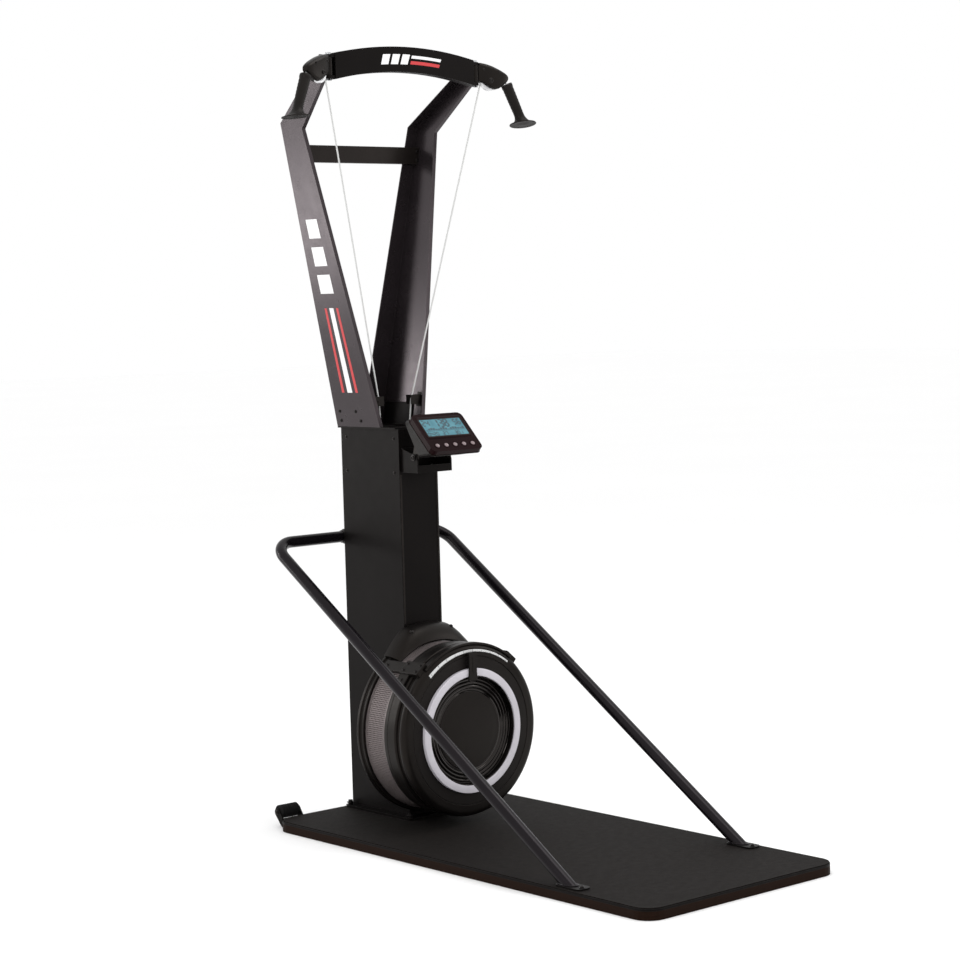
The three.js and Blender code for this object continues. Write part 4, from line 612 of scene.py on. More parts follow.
def head_point(side, reach, across, height):
    """A point of a pulley head, from its own outward, sideways and upward distances."""
    a = HEAD_ANGLE * DEG
    return Vector((
        side * (SWIVEL_X + reach * math.cos(a) + across * math.sin(a)),
        SWIVEL_Y - reach * math.sin(a) + across * math.cos(a),
        height))


def head_across(side):
    return head_point(side, 0, 1, 0) - head_point(side, 0, 0, 0)


def new_cord(name, node, points, body):
    return tube(name, points, CORD_RADIUS, 12, CORD, body, ride=False, hides=[node])


def declare(points):
    length = sum((b - a).length for a, b in zip(points, points[1:])) * MM
    metres(points[0])
    [metres(p) for p in points]


def new_cords():
    for side, name in SIDES:
        reach = PULLEY_REACH - CORD_WRAP
        top = head_point(side, reach, 0, PULLEY_Z - 0.3)
        guide = Vector((side * GUIDE_X, GUIDE_Y, GUIDE_Z))
        drum = Vector((DRUM_SIDE, COLUMN_FRONT + DRUM_STARTS[name] + DRUM_HALF, AXIS))
        points = route([top, top - CORD_DROP, guide, drum], [CORD_BEND, CORD_BEND], 6, 12)
        cord = new_cord(f"cord_drive_{name}", f"drive_cord_{name}", points, "frame")
        metres(guide + OVER_GUIDE)
        metres(top + UNDER_PULLEY)
        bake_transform(cord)
        declare(points)

        rise = MOUTH.z - PULLEY_Z
        run = MOUTH.x - PULLEY_REACH
        angle = math.atan2(rise, run) + math.acos(CORD_WRAP / math.hypot(run, rise))
        leave = Vector((PULLEY_REACH, 0, PULLEY_Z)) + radial(angle / DEG) * CORD_WRAP
        back = (leave - MOUTH).normalized()
        over = MOUTH + back * ((reach - MOUTH.x) / back.x)
        end = HANDLE_NECK + HANDLE_HEADING * 3
        local = route([Vector((reach, 0, PULLEY_Z)), over, MOUTH, end], [CORD_WRAP, MOUTH_BEND], 14)
        points = [head_point(side, *p) for p in local]
        cord = new_cord(f"cord_handle_{name}", f"handle_cord_{name}", points, f"head_{name}")
        leaving, arriving = head_point(side, *PAST_MOUTH), head_point(side, *AT_NECK)
        metres(leaving)
        metres(arriving)
        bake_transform(cord)
        declare(points)


# Base, column and arms

MAT_EDGING_SPAN = (21.6, 27.25)
MAT_EDGING_OUTER = (666.6, 1467.6, 50.3)
MAT_EDGING_INNER = (661, 1462, 47.5)
FOOT_BOLT_X = COLUMN_HALF + 14
FOOT_BOLT_YS = (COLUMN_FRONT - 21, COLUMN_REAR - 7)
FOOT_BOLT_Z = PLATFORM_TOP + 12.3
COLUMN_SCREW_YS = (COLUMN_FRONT + 22, COLUMN_REAR - 22)
COLUMN_SCREW_ZS = (COLUMN_TOP - 26, COLUMN_TOP - 120)
COVER_SCREW_ZS = (60, 320, 580, 840, 1080)
ARM_SCREW_PLACES = ((612, 1126), (700, 1126), (628, 1152), (700, 1152))
FOLD_WIDTH = 5.2
FOLD_DEPTH = 1.6
FOLD_SPAN = (569, 980)
ARM_FOOT = 1109.6
ARM_ELBOW = 1948
ARM_FOOT_SPREAD = 79.5
ARM_ELBOW_SPREAD = 243
ARM_FOOT_DEPTH = 190
ARM_ELBOW_DEPTH = 92
ARM_LEAN = math.atan2(ARM_ELBOW_SPREAD - ARM_FOOT_SPREAD, ARM_ELBOW - ARM_FOOT)
BEAM_CENTRE = 997.57
# Stripes of an arm: lowest and highest height, and where they start and how wide they are, in shares
WHITE_STRIPES = ((1480, 1532, 0.34, 0.40), (1556, 1608, 0.34, 0.40), (1632, 1684, 0.34, 0.40),
                 (1205, 1440, 0.46, 0.12))
RED_STRIPES = ((1205, 1440, 0.32, 0.06), (1205, 1440, 0.66, 0.06))
# Bars of the beam: first and last angle, lowest and highest radius, and slant
WHITE_BARS = ((-4.6, -3.3, 1097, 1124, 0.5), (-2.85, -1.55, 1097, 1124, 0.5), (-1.1, 0.2, 1097, 1124, 0.5),
              (0.9, 6.2, 1114, 1122, 0.15))
RED_BAR = (0.7, 6.0, 1098, 1107, 0.15)


def new_base():
    places = [(sx * FOOT_BOLT_X, y, FOOT_BOLT_Z) for sx in (-1, 1) for y in FOOT_BOLT_YS]
    screws("foot_plate_bolts", places, UP, PLATE_BOLT, shape=hex_shape)
    outer, inner = rounded_outline(*MAT_EDGING_OUTER, 14), rounded_outline(*MAT_EDGING_INNER, 14)
    low, high = MAT_EDGING_SPAN
    corners = ((outer, low), (outer, high), (inner, high), (inner, low))
    rings = [[(x, y, z) for x, y in outline] for outline, z in corners]
    piece("mat_edging", skin(rings, closed=True), COAT, bevel=0.6)


def arm_share(height):
    return (height - ARM_FOOT) / (ARM_ELBOW - ARM_FOOT)


def arm_point(side, y, height):
    """A point of an arm's outer face."""
    spread_there = ARM_FOOT_SPREAD + (ARM_ELBOW_SPREAD - ARM_FOOT_SPREAD) * arm_share(height)
    return Vector((side * spread_there, y, height))


def arm_out(side):
    return Vector((side * math.cos(ARM_LEAN), 0, -math.sin(ARM_LEAN)))


def new_column():
    for side, name in SIDES:
        places = [(side * COLUMN_HALF, y, z) for z in COLUMN_SCREW_ZS for y in COLUMN_SCREW_YS]
        screws(f"column_screws_{name}", places, (side, 0, 0), COLUMN_SCREW)
        outer = side * (COLUMN_HALF - FOLD_DEPTH)
        inner = outer - side * FOLD_WIDTH
        low, high = FOLD_SPAN
        outline = [(outer, low), (inner, low), (inner, high), (outer, high)]
        fold = plate_shape(outline, (0, COLUMN_FRONT + 0.1, 0), RIGHT, UP, FOLD_DEPTH)
        piece(f"column_fold_{name}", fold, COAT_BAR, bevel=0.5)
        places = [arm_point(side, y, z) for y, z in ARM_SCREW_PLACES]
        screws(f"arm_screws_{name}", places, arm_out(side), ARM_SCREW)
    places = [(x, COLUMN_REAR - 3.3, z) for x in (-56, 56) for z in COVER_SCREW_ZS]
    screws("cover_screws", places, BACK, COVER_SCREW)


def stripe_shape(side, low, high, front_share, width_share):
    """A plain stripe on an arm's outer face, between two heights, by shares of the arm's width."""
    rear_share = front_share + width_share
    corners = []
    for z, shares in ((low, (front_share, rear_share)), (high, (rear_share, front_share))):
        depth = ARM_FOOT_DEPTH + (ARM_ELBOW_DEPTH - ARM_FOOT_DEPTH) * arm_share(z)
        corners += [arm_point(side, COLUMN_REAR - depth + share * depth, z) for share in shares]
    out = arm_out(side)
    return skin([[c - out * 0.1 for c in corners], [c + out * 0.35 for c in corners]])


def bar_shape(start, end, low, high, slant):
    """A plain bar on the beam's front, between two angles from its middle and two radii."""
    centre = (0, BEAM_CENTRE)
    outline = arc(high, centre, 90 - start - slant, 90 - end - slant, 16)
    outline += arc(low, centre, 90 - end, 90 - start, 16)
    return plate_shape(outline, (0, COLUMN_FRONT + 0.1, 0), RIGHT, UP, 0.4)


def new_arms():
    for side, name in SIDES:
        whites = together([stripe_shape(side, *stripe) for stripe in WHITE_STRIPES])
        reds = together([stripe_shape(side, *stripe) for stripe in RED_STRIPES])
        piece(f"arm_stripes_white_{name}", whites, STRIPE_WHITE, bevel=0.1)
        piece(f"arm_stripes_red_{name}", reds, STRIPE_RED, bevel=0.1)
    bars = together([bar_shape(*bar) for bar in WHITE_BARS])
    piece("beam_bars_white", bars, STRIPE_WHITE, bevel=0.1)
    piece("beam_bar_red", bar_shape(*RED_BAR), STRIPE_RED, bevel=0.1)
    places = [(side * 218, 699, z) for side in (-1, 1) for z in (1854, 1878)]
    screws("crossbar_screws", places, FORWARD, ARM_SCREW)


# Flywheel unit. Its profiles are pairs of radius and distance forward of the column's front.

HUB = (0, COLUMN_FRONT, AXIS)
BAND_RADIUS = 232
BAND_SPAN = (24.3, 108)
BAND_COLUMNS = 264
BAND_ROWS = 14
BAND_EDGES = {"rear": (24.3, 28.5), "front": (103.5, 108)}
HOLE_SHARE = 0.31
CAP_RIDGES = (138.4, 128.6, 118.8)
PAN_GROOVES = (96, 150, 204)
# The ears' blocks: lowest and highest radius, start and end along the axis, and width
EAR_BLOCKS = ((227.5, 247.8, 108.6, 184, 42), (235.2, 244.8, 24.8, 120, 34))
LOW_EAR = (227.5, 242.8, 108.6, 148, 42)
EAR_BEVEL = 2.2
# The angles of the ears and of the low ears
EARS = (("right", 49, 40), ("left", 131, 140))


def polar(radius, angle, distance):
    """A point of the flywheel unit by radius, angle and distance forward."""
    return Vector(HUB) + radial(angle) * radius + Vector(FORWARD) * distance


def around_hub(name, profile, segments, material, **options):
    turned(name, profile, HUB, FORWARD, segments, material, **options)


def dial_shape(outline, distance, depth):
    """A flat shape that faces forward, drawn round the flywheel's axis."""
    return plate_shape(outline, (0, COLUMN_FRONT - distance, AXIS), RIGHT, UP, depth)


def new_housing():
    pan = [(20.4, 0.3)]
    for middle in PAN_GROOVES:
        pan += [(middle - 5, 0.3), (middle - 3.4, 1.7), (middle + 3.4, 1.7), (middle + 5, 0.3)]
    pan += [(242.5, 0.3)] + arc(1.5, (242.5, 1.8), -90, 0, 4) + arc(1.5, (242.5, 8.5), 0, 90, 4)
    pan += [(240.8, 10.2), (240, 11.5), (240, 15), (239.2, 15.8), (239.2, 17.2), (240, 18), (240, 22.5)]
    pan += [(238.5, 24), (226, 24), (226, 21), (237, 21), (237, 3.4), (34, 3.4), (34, 17), (20.4, 17)]
    around_hub("pan_shell", pan, 160, PLASTIC, hides=["back_pan"], bevel=0.5)

    drum = [(232, 108.3)] + arc(1.6, (234.4, 109.9), -90, 0, 3)
    drum += [(236, 122), (235.3, 122.8), (235.3, 124.2), (236, 125), (236, 150)]
    drum += arc(6, (230, 151.5), 0, 90, 6) + [(228.5, 158.2)]
    drum += arc(3.5, (230.5, 162), 215, 145, 5) + [(229, 165.5), (232, 168.5), (234.6, 172), (236, 176)]
    drum += arc(16, (220, 178), 0, 84, 12) + [(218, 194), (204, 194), (203, 193.2), (203, 190)]
    drum += [(149.3, 190), (149.3, 186), (223, 186), (223, 154), (232, 154)]
    around_hub("drum_shell", drum, 176, PLASTIC, hides=["front_drum"], bevel=0.4)

    ring = [(149.3, 190.3), (170, 190.3), (170, 201)] + arc(1.6, (168.4, 201.4), 0, 90, 4)
    ring += arc(1.6, (150.9, 201.4), 90, 180, 4)
    around_hub("ring_shell", ring, 176, RING, hides=["trim_ring"])

    cap = [(0, 179), (149, 179), (149, 199.2), (148.2, 200), (146.8, 200)]
    cap += [(146, 199.2), (145.6, 184.4), (144.2, 182.4)]
    for middle in CAP_RIDGES:
        cap += oval(4.6, 3.6, (middle, 182), range(4, 180, 16))
    cap += [(112.6, 182), (108.6, 182.2), (107.4, 183.4), (106, 184.4), (0, 184.4)]
    around_hub("cap_shell", cap, 176, GLOSS, hides=["front_cap"])

    disc = [(0, 184.5), (104.4, 184.5), (105, 185.1), (104.2, 185.8)]
    disc += oval(100, 2.8, (0, 185.2), range(12, 90, 13)) + [(0, 188)]
    around_hub("cap_disc", disc, 144, PLASTIC)


def new_band():
    """The band's perforated skin: rows of small round holes, each in a square cell, and its two edges."""
    start, end = BAND_SPAN
    pitch = (end - start) / BAND_ROWS
    verts, faces, index = [], [], {}

    def vertex(column, row):
        key = (round(column % BAND_COLUMNS, 4), round(row, 4))
        if key not in index:
            index[key] = len(verts)
            verts.append(polar(BAND_RADIUS, 360 * column / BAND_COLUMNS, start + pitch * row))
        return index[key]

    rim = [(0, 0), (0.5, 0), (1, 0), (1, 0.5), (1, 1), (0.5, 1), (0, 1), (0, 0.5)]
    hole = []
    for x, y in rim:
        angle = math.atan2(y - 0.5, x - 0.5)
        hole.append((0.5 + HOLE_SHARE * math.cos(angle), 0.5 + HOLE_SHARE * math.sin(angle)))
    for column in range(BAND_COLUMNS):
        for row in range(BAND_ROWS):
            outer = [vertex(column + x, row + y) for x, y in rim]
            if row in (0, BAND_ROWS - 1):
                faces.append(tuple(outer))
                continue
            inner = [vertex(column + x, row + y) for x, y in hole]
            for k, after in zip(range(len(rim)), [*range(1, len(rim)), 0]):
                faces.append((outer[k], outer[after], inner[after], inner[k]))
    band = piece("band_skin", (verts, faces), BAND, hides=["mesh_band"], sharp=60)
    thick = band.modifiers.new("thickness", "SOLIDIFY")
    thick.thickness = 1.2 * MM
    thick.offset = -1
    for name, (low, high) in BAND_EDGES.items():
        profile = mirrored([(229.8, low), (232.9, low), (233.3, low + 0.6)], about=(low + high) / 2)
        around_hub(f"band_edge_{name}", profile, 160, BAND)


def ear_shape(angle, low, high, start, end, width):
    """A rounded block on the drum, from one radius to another and along the axis."""
    outline = rounded_outline(width, end - start, 4, 5)
    middle = polar(low, angle, (start + end) / 2)
    return plate_shape(outline, middle, radial(angle + 90), FORWARD, high - low)


def new_ears():
    """Moulded ears that hold the drum to the band, with their screws."""
    for name, angle, lower in EARS:
        ear = together([ear_shape(angle, *size) for size in EAR_BLOCKS])
        piece(f"drum_ear_{name}", ear, PLASTIC, bevel=EAR_BEVEL, bevel_steps=3)
        piece(f"drum_ear_low_{name}", ear_shape(lower, *LOW_EAR), PLASTIC, bevel=EAR_BEVEL, bevel_steps=3)
        aside = radial(angle + 90) * 11
        places = [polar(247.5, angle, along) + aside * sign for along in (120, 172) for sign in (-1, 1)]
        places += [polar(244.5, angle, 40)]
        screws(f"drum_ear_screws_{name}", places, radial(angle), COVER_SCREW)
        screws(f"drum_ear_low_screw_{name}", [polar(242.5, lower, 128)], radial(lower), BRACKET_SCREW)
    visor = arc(239.6, (0, 0), 50, 130, 64) + arc(233, (0, 0), 130, 50, 64)
    piece("drum_visor", dial_shape(visor, 172, 20), PLASTIC, bevel=2.0, bevel_steps=3)


# Damper and its scale

SCALE_START = 52
SCALE_END = 131
SCALE_OUTER = 221
SCALE_INNER_START = 216.6
SCALE_INNER_END = 211.4
SCALE_MARGIN = 2
MARK_DISTANCE = 195.7
DIGIT_PITCH = 1.55
LEVER_RIGHT = [(13, 137), (15, 139), (13, 160), (13, 205), (15, 213), (13.5, 216)]
SEGMENTS = {
    "a": ((0, 1), (1, 1)), "b": ((1, 1), (1, 0.5)), "c": ((1, 0.5), (1, 0)), "d": ((0, 0), (1, 0)),
    "e": ((0, 0.5), (0, 0)), "f": ((0, 1), (0, 0.5)), "g": ((0, 0.5), (1, 0.5)),
}
DIGITS = ["abcdef", "bc", "abged", "abgcd", "fgbc", "afgcd", "afgedc", "abc", "abcdefg", "abcfgd"]


def scale_inner(angle):
    """The inner radius of the scale, which grows narrower from its left end to its right."""
    share = (angle - SCALE_START) / (SCALE_END - SCALE_START)
    return SCALE_INNER_START + (SCALE_INNER_END - SCALE_INNER_START) * share


def new_damper():
    ring = [(170.6, 190.3), (202.4, 190.3), (202.4, 192.6), (201.7, 193.3), (171.3, 193.3), (170.6, 192.6)]
    lever = LEVER_RIGHT + [(-x, y) for x, y in reversed(LEVER_RIGHT)]
    shapes = [
        turned_shape(ring, HUB, FORWARD, 160),
        dial_shape(lever, 203.6, 5),
        dial_shape(rounded_outline(24, 10, 2, 3, (0, 186.5)), 190.4, 15),
        dial_shape(rounded_outline(3, 44, 1.4, 4, (0, 180)), 208.4, 1.2),
    ]
    piece("damper_ring_and_lever", together(shapes), PLASTIC_SOFT, "damper", hides=["damper_lever"],
          bevel=0.25)

    outline = arc(SCALE_OUTER, (0, 0), SCALE_START, SCALE_END, 56)
    for angle in spread(SCALE_END, SCALE_START, 56):
        inner = scale_inner(angle)
        outline += oval(inner, inner, (0, 0), [angle])
    piece("scale_plate", dial_shape(outline, 194.3, 1.5), SCALE, hides=["damper_scale"], bevel=0.4)

    marks = []
    for i, angle in enumerate(spread(SCALE_START + SCALE_MARGIN, SCALE_END - SCALE_MARGIN, 36)):
        reach_share, half = (0.42, 0.6) if i % 4 == 0 else (0.22, 0.35)
        low = scale_inner(angle) + 0.7
        high = low + (SCALE_OUTER - low) * reach_share
        out = Vector((math.cos(angle * DEG), math.sin(angle * DEG)))
        side = Vector((-out.y, out.x)) * half
        corners = [out * low - side, out * high - side, out * high + side, out * low + side]
        marks.append(dial_shape(corners, MARK_DISTANCE, 0.35))
    for i, angle in enumerate(spread(SCALE_START + SCALE_MARGIN, SCALE_END - SCALE_MARGIN, 9)):
        size = (SCALE_OUTER - scale_inner(angle)) * 0.3
        spot = polar(SCALE_OUTER - 0.6 - size / 2, angle, MARK_DISTANCE)
        marks += number_shapes(10 - i, spot, angle, size * 0.57, size)
    piece("scale_marks", together(marks), INK)


def digit_strokes(text, width, height, stroke):
    """Flat outlines of plain seven-segment digits, the first one starting at x = 0."""
    outlines = []
    for place, letter in enumerate(text):
        left = place * width * DIGIT_PITCH
        for key in DIGITS[int(letter)]:
            a, b = (Vector((left + x * width, y * height)) for x, y in SEGMENTS[key])
            along = (b - a).normalized() * (stroke * 0.3)
            across = Vector((-along.y, along.x)).normalized() * (stroke / 2)
            a, b = a + along, b - along
            outlines.append([a - across, b - across, b + across, a + across])
    return outlines


def number_shapes(number, spot, angle, width, height):
    """A small number on the dial, upright along the radius."""
    up, across = radial(angle), radial(angle - 90)
    text = str(number)
    total = width * (1 + DIGIT_PITCH * (len(text) - 1))
    origin = spot - across * (total / 2) - up * (height / 2)
    outlines = digit_strokes(text, width, height, 0.6)
    return [plate_shape(outline, origin, across, up, 0.35) for outline in outlines]


# Hood in front of the column; its section is in shares of its height and its depth

HOOD_SECTION = [(1, 0), (0.995, 0.12), (0.975, 0.28), (0.93, 0.42), (0.85, 0.56), (0.73, 0.68), (0.59, 0.78),
                (0.43, 0.865), (0.27, 0.93), (0.15, 0.975), (0.1, 1)]
HOOD_HALF_TURN = 35
HOOD_FLAT_TURN = 14
HOOD_CREST = 282
HOOD_EDGE_CREST = 248
HOOD_DEPTH = 64
HOOD_WALL = 3
HOOD_EASE = 0.35
HOOD_END_WALL = 0.8
HOOD_FOOT = 236
HOOD_FOOT_SPAN = (0.3, 60)
HOOD_SCREW_TURNS = (-15, 15)


def hood_point(turn, up_share, depth_share, inset=0):
    """A point of the hood's skin, by degrees from the top and two shares."""
    past = max(0, abs(turn) - HOOD_FLAT_TURN) / (HOOD_HALF_TURN - HOOD_FLAT_TURN)
    past = HOOD_EASE * eased(past) + (1 - HOOD_EASE) * past
    crest = HOOD_CREST + (HOOD_EDGE_CREST - HOOD_CREST) * past
    radius = BAND_RADIUS + up_share * (crest - BAND_RADIUS) - inset
    return polar(radius, 90 - turn, 0.3 + depth_share * (HOOD_DEPTH - inset))


def new_cowl():
    rings = []
    for turn in spread(-HOOD_HALF_TURN, HOOD_HALF_TURN, 56):
        ring = [hood_point(turn, *shares) for shares in HOOD_SECTION]
        rings.append(ring + [hood_point(turn, *shares, HOOD_WALL) for shares in reversed(HOOD_SECTION)])
    verts, faces = skin(rings, caps=False)
    count = len(rings[0])
    for k in range(count // 2 - 1):
        for base in (0, len(verts) - count):
            faces.append((base + k, base + k + 1, base + count - 2 - k, base + count - 1 - k))
    shapes = [(verts, faces)]
    for sign in (-1, 1):
        walls = []
        for angle in (sign * HOOD_HALF_TURN, sign * (HOOD_HALF_TURN - HOOD_END_WALL)):
            edge = [hood_point(angle, *shares, 0.2) for shares in HOOD_SECTION]
            rear, front = (polar(HOOD_FOOT, 90 - angle, distance) for distance in HOOD_FOOT_SPAN)
            walls.append([rear] + edge + [front])
        shapes.append(skin(walls))
    piece("cowl_shell", together(shapes), PLASTIC, hides=["flywheel_cowl"], sharp=38)
    here, next_to_it = HOOD_SECTION[4:6]
    for number, turn in enumerate(HOOD_SCREW_TURNS, start=1):
        spot = hood_point(turn, *here)
        aside, nearer = hood_point(turn + 1, *here), hood_point(turn, *next_to_it)
        out = (aside - spot).cross(nearer - spot).normalized()
        screws(f"cowl_screw_{number}", [spot], -out if out.y > 0 else out, HOOD_SCREW)


# Fan

FAN_BLADES = 24
BLADE_INNER = 96
BLADE_LENGTH = 109
BLADE_SPAN = (66.5, 127.6)
BLADE_HALF = 1.25
BLADE_SWEEP = 5


def blade_shape(angle):
    rings = []
    for share in spread(0, 1, 6):
        sweep = angle + BLADE_SWEEP * math.sin(math.pi * share)
        side = radial(sweep + 90) * BLADE_HALF
        rear, front = (polar(BLADE_INNER + BLADE_LENGTH * share, sweep, distance) for distance in BLADE_SPAN)
        rings.append([rear - side, rear + side, front + side, front - side])
    return skin(rings)


def new_fan():
    disc = [(8.3, 48), (30, 48), (30, 61), (31, 62), (60, 62), (64, 63.4), (88, 63.4), (92, 62), (205, 62)]
    disc += [(206, 63), (206, 66), (205, 67), (31, 67), (30, 68), (30, 127), (29, 128), (8.3, 128)]
    shapes = [turned_shape(disc, HUB, FORWARD, 120)]
    shapes += [blade_shape(360 * i / FAN_BLADES) for i in range(FAN_BLADES)]
    piece("fan_rotor", together(shapes), FAN, "flywheel", hides=["fan_flywheel"])


# Pulley heads and handles

# Cross-sections of a head: reach, lowest and highest height, and width
HEAD_SECTIONS = [
    (8, 2058, 2111, 20), (12, 2057, 2111, 24), (17, 2055.6, 2110.7, 27.6), (24, 2053, 2109.4, 30.6),
    (33, 2047.4, 2107.6, 32.8), (43, 2041.8, 2104.8, 34), (52, 2038.2, 2101.8, 33.6),
    (60, 2037, 2098.6, 32.6), (70, 2039.4, 2094.2, 31), (79, 2044.2, 2090, 29.6), (88, 2050.4, 2085.2, 27),
    (94, 2055.2, 2081.6, 23.6), (98.5, 2059.4, 2077.8, 20), (101, 2063, 2074, 15.6),
]
HEAD_LOW = 2030
HEAD_HIGH = 2130
HEAD_SCREWS = ((22, 14.4, 2092), (70, 15.3, 2086))
BEAM_END_SPAN = (238.6, 241.2)
BEAM_END_OUTLINE = [(471, 2050.4), (492, 2050.4), (492, 2110.6), (471, 2113)]
SWIVEL_CAP_RISE = 32.3
LUG_CUT = 11.6
LUG_HALF = 23.7
GRIP_LENGTH = 124
GRIP_NECK = 15
GRIP_END = 14.2
RIBS_START = 15
RIBS_LENGTH = 69
RIB_COUNT = 14
FLARE_START = 92
FLARE_LENGTH = 27.2
FLANGE_RADIUS = 37.2
FLANGE_TILT = {"right": 12, "left": 5}
LEVEL_START = 12
LEVEL_END = GRIP_LENGTH - 30


def new_heads():
    for side, name in SIDES:
        rings = []
        for reach, low, high, width in HEAD_SECTIONS:
            ring = rounded_outline(width, high - low, min(width, high - low) * 0.36, 7)
            rings.append([head_point(side, reach, y, (low + high) / 2 + z) for y, z in ring])
        shell = piece(f"head_shell_{name}", skin(rings), PLASTIC, f"head_{name}",
                      hides=[f"pulley_head_{name}"], sharp=50)
        carve_head(shell, side)
        new_head_details(side, name)
        new_pulley(side, name)
        new_handle(side, name)


def carve(target, shapes):
    """Cuts shapes out of a piece and leaves plain mesh behind."""
    for number, shape in enumerate(shapes):
        tool = new_object(f"{target.name}_cut_{number}", *shape)
        modifier = target.modifiers.new("cut", "BOOLEAN")
        modifier.operation = "DIFFERENCE"
        modifier.solver = "EXACT"
        modifier.object = tool
        depsgraph = bpy.context.evaluated_depsgraph_get()
        mesh = bpy.data.meshes.new_from_object(target.evaluated_get(depsgraph))
        target.modifiers.remove(modifier)
        old = target.data
        target.data = mesh
        mesh.name = old.name
        bpy.data.meshes.remove(old)
        bpy.data.objects.remove(tool)
    smooth(target, 35)


def carve_head(shell, side):
    """Cuts the room for the beam's lugs, the pulley's slot and the cord's way out."""

    def place(reach, across, height):
        return head_point(side, reach, across, height)

    over_lug = box((-20, -30, SWIVEL_Z + LUG_HALF), (LUG_CUT, 30, HEAD_HIGH), place)
    under_lug = box((-20, -30, HEAD_LOW), (LUG_CUT, 30, SWIVEL_Z - LUG_HALF), place)
    slot = box((LUG_CUT - 0.1, -6, HEAD_LOW), (70, 6, PULLEY_Z + 31), place)
    start = head_point(side, *(MOUTH - HANDLE_HEADING * 1.5))
    end = head_point(side, *(MOUTH + HANDLE_HEADING * 14))
    outlet = turned_shape([(0, 0), (5, 0), (5, 15.5), (0, 15.5)], start, end - start, 20)
    carve(shell, [over_lug, under_lug, slot, outlet])


def new_head_details(side, name):
    body = f"head_{name}"
    across = head_across(side)
    barrel = mirrored([(5.4, -23.6), (10.2, -23.6), (11, -22.6)])
    turned(f"head_barrel_{name}", barrel, head_point(side, 0, 0, SWIVEL_Z), UP, 40, PLASTIC, body)
    axle = mirrored([(0, -12.5), (4, -12.5)])
    turned(f"head_axle_{name}", axle, head_point(side, PULLEY_REACH, 0, PULLEY_Z), across, 24, STEEL, body)
    for end, tag in ((1, "rear"), (-1, "front")):
        spot = head_point(side, PULLEY_REACH, end * 16.4, PULLEY_Z)
        screws(f"head_axle_cap_{tag}_{name}", [spot], across * end, PULLEY_CAP, body)
        places = [head_point(side, reach, end * aside, z) for reach, aside, z in HEAD_SCREWS]
        screws(f"head_screws_{tag}_{name}", places, across * end, HEAD_SCREW, body)
    cap = [(0, 0), (7.2, 0), (7.2, 3.6), (6.3, 4.8), (2.5, 4.8), (2.2, 3.0), (0, 3.0)]
    for sign, out, tag in ((1, UP, "top"), (-1, DOWN, "bottom")):
        spot = (side * SWIVEL_X, SWIVEL_Y, SWIVEL_Z + sign * SWIVEL_CAP_RISE)
        turned(f"swivel_{tag}_cap_{name}", cap, spot, out, 28, COAT)
    rings = [[(side * x, y, z) for y, z in BEAM_END_OUTLINE] for x in BEAM_END_SPAN]
    piece(f"beam_end_{name}", skin(rings), PLASTIC, bevel=0.6)


def new_pulley(side, name):
    half = [(4.4, -5), (13, -5), (13.6, -4.2), (20, -4.2), (20.8, -5), (26.4, -5), (27, -4.5), (27, -3.9)]
    groove = arc(CORD_RADIUS, (26, 0), 245, 115, 8)
    turned(f"pulley_wheel_{name}", mirrored(half, groove), head_point(side, PULLEY_REACH, 0, PULLEY_Z),
           head_across(side), 72, PULLEY, f"pulley_{name}", hides=[f"cord_pulley_{name}"])


def new_handle(side, name):
    profile = [(2.5, 0.6), (3.4, 0), (14.4, 0), (15.6, 0.5), (16.1, 1.6), (16.1, 8.4), (15.8, 10)]
    profile += [(GRIP_NECK + 0.2, 12.4)]
    for i, share in enumerate(spread(0, 1, RIB_COUNT)):
        ribbed = 0.35 if i % 2 else -0.2
        radius = GRIP_NECK + (GRIP_END - GRIP_NECK) * share + ribbed
        profile.append((radius, RIBS_START + RIBS_LENGTH * share))
    for angle in spread(0, 90, 12)[1:]:
        flare = (FLANGE_RADIUS - GRIP_END) * (1 - math.cos(angle * DEG))
        profile.append((GRIP_END + flare, FLARE_START + FLARE_LENGTH * math.sin(angle * DEG)))
    profile += arc(1.6, (36.4, 120.9), -60, 90, 6) + [(34, 122.1), (30, 121.4), (22, 121.0), (14, 122.6)]
    profile += [(4, GRIP_LENGTH), (0, GRIP_LENGTH), (0, 4), (2.5, 4)]
    verts, faces = turned_shape(profile, HANDLE_NECK, HANDLE_HEADING, 64)
    verts = [head_point(side, *level_flange(v, FLANGE_TILT[name])) for v in verts]
    piece(f"grip_{name}", (verts, faces), PLASTIC_SOFT, f"handle_{name}", hides=[f"handle_{name}"], sharp=50)


def level_flange(point, tilt):
    """Turns a ring of the leaning grip nearly level, little by little from its neck to its flange."""
    along = (point - HANDLE_NECK).dot(HANDLE_HEADING)
    middle = HANDLE_NECK + HANDLE_HEADING * along
    share = eased(min(1, max(0, (along - LEVEL_START) / (LEVEL_END - LEVEL_START))))
    turn = Matrix.Rotation(-tilt * DEG * share, 3, "X") @ Matrix.Rotation(HANDLE_LEAN * DEG * share, 3, "Y")
    return middle + turn @ (point - middle)


# Handrail and transport wheels

RAIL_X = 300.5
RAIL_TOP = 795
RAIL_Y = COLUMN_REAR + 24
RAIL_SLOPE = 33 * DEG
RAIL_RADIUS = 16
RAIL_BEND = 66
FOOT_TOP = PLATFORM_TOP + 4.6
BELOW_FEET = ((-400, -600, -40), (400, -300, FOOT_TOP))
WHEEL_X = 272
WHEEL_Y = 757.5
WHEEL_Z = 43


def rail_y(height):
    """Where the leg's middle line reaches a height."""
    return RAIL_Y - (RAIL_TOP - height) / math.tan(RAIL_SLOPE)


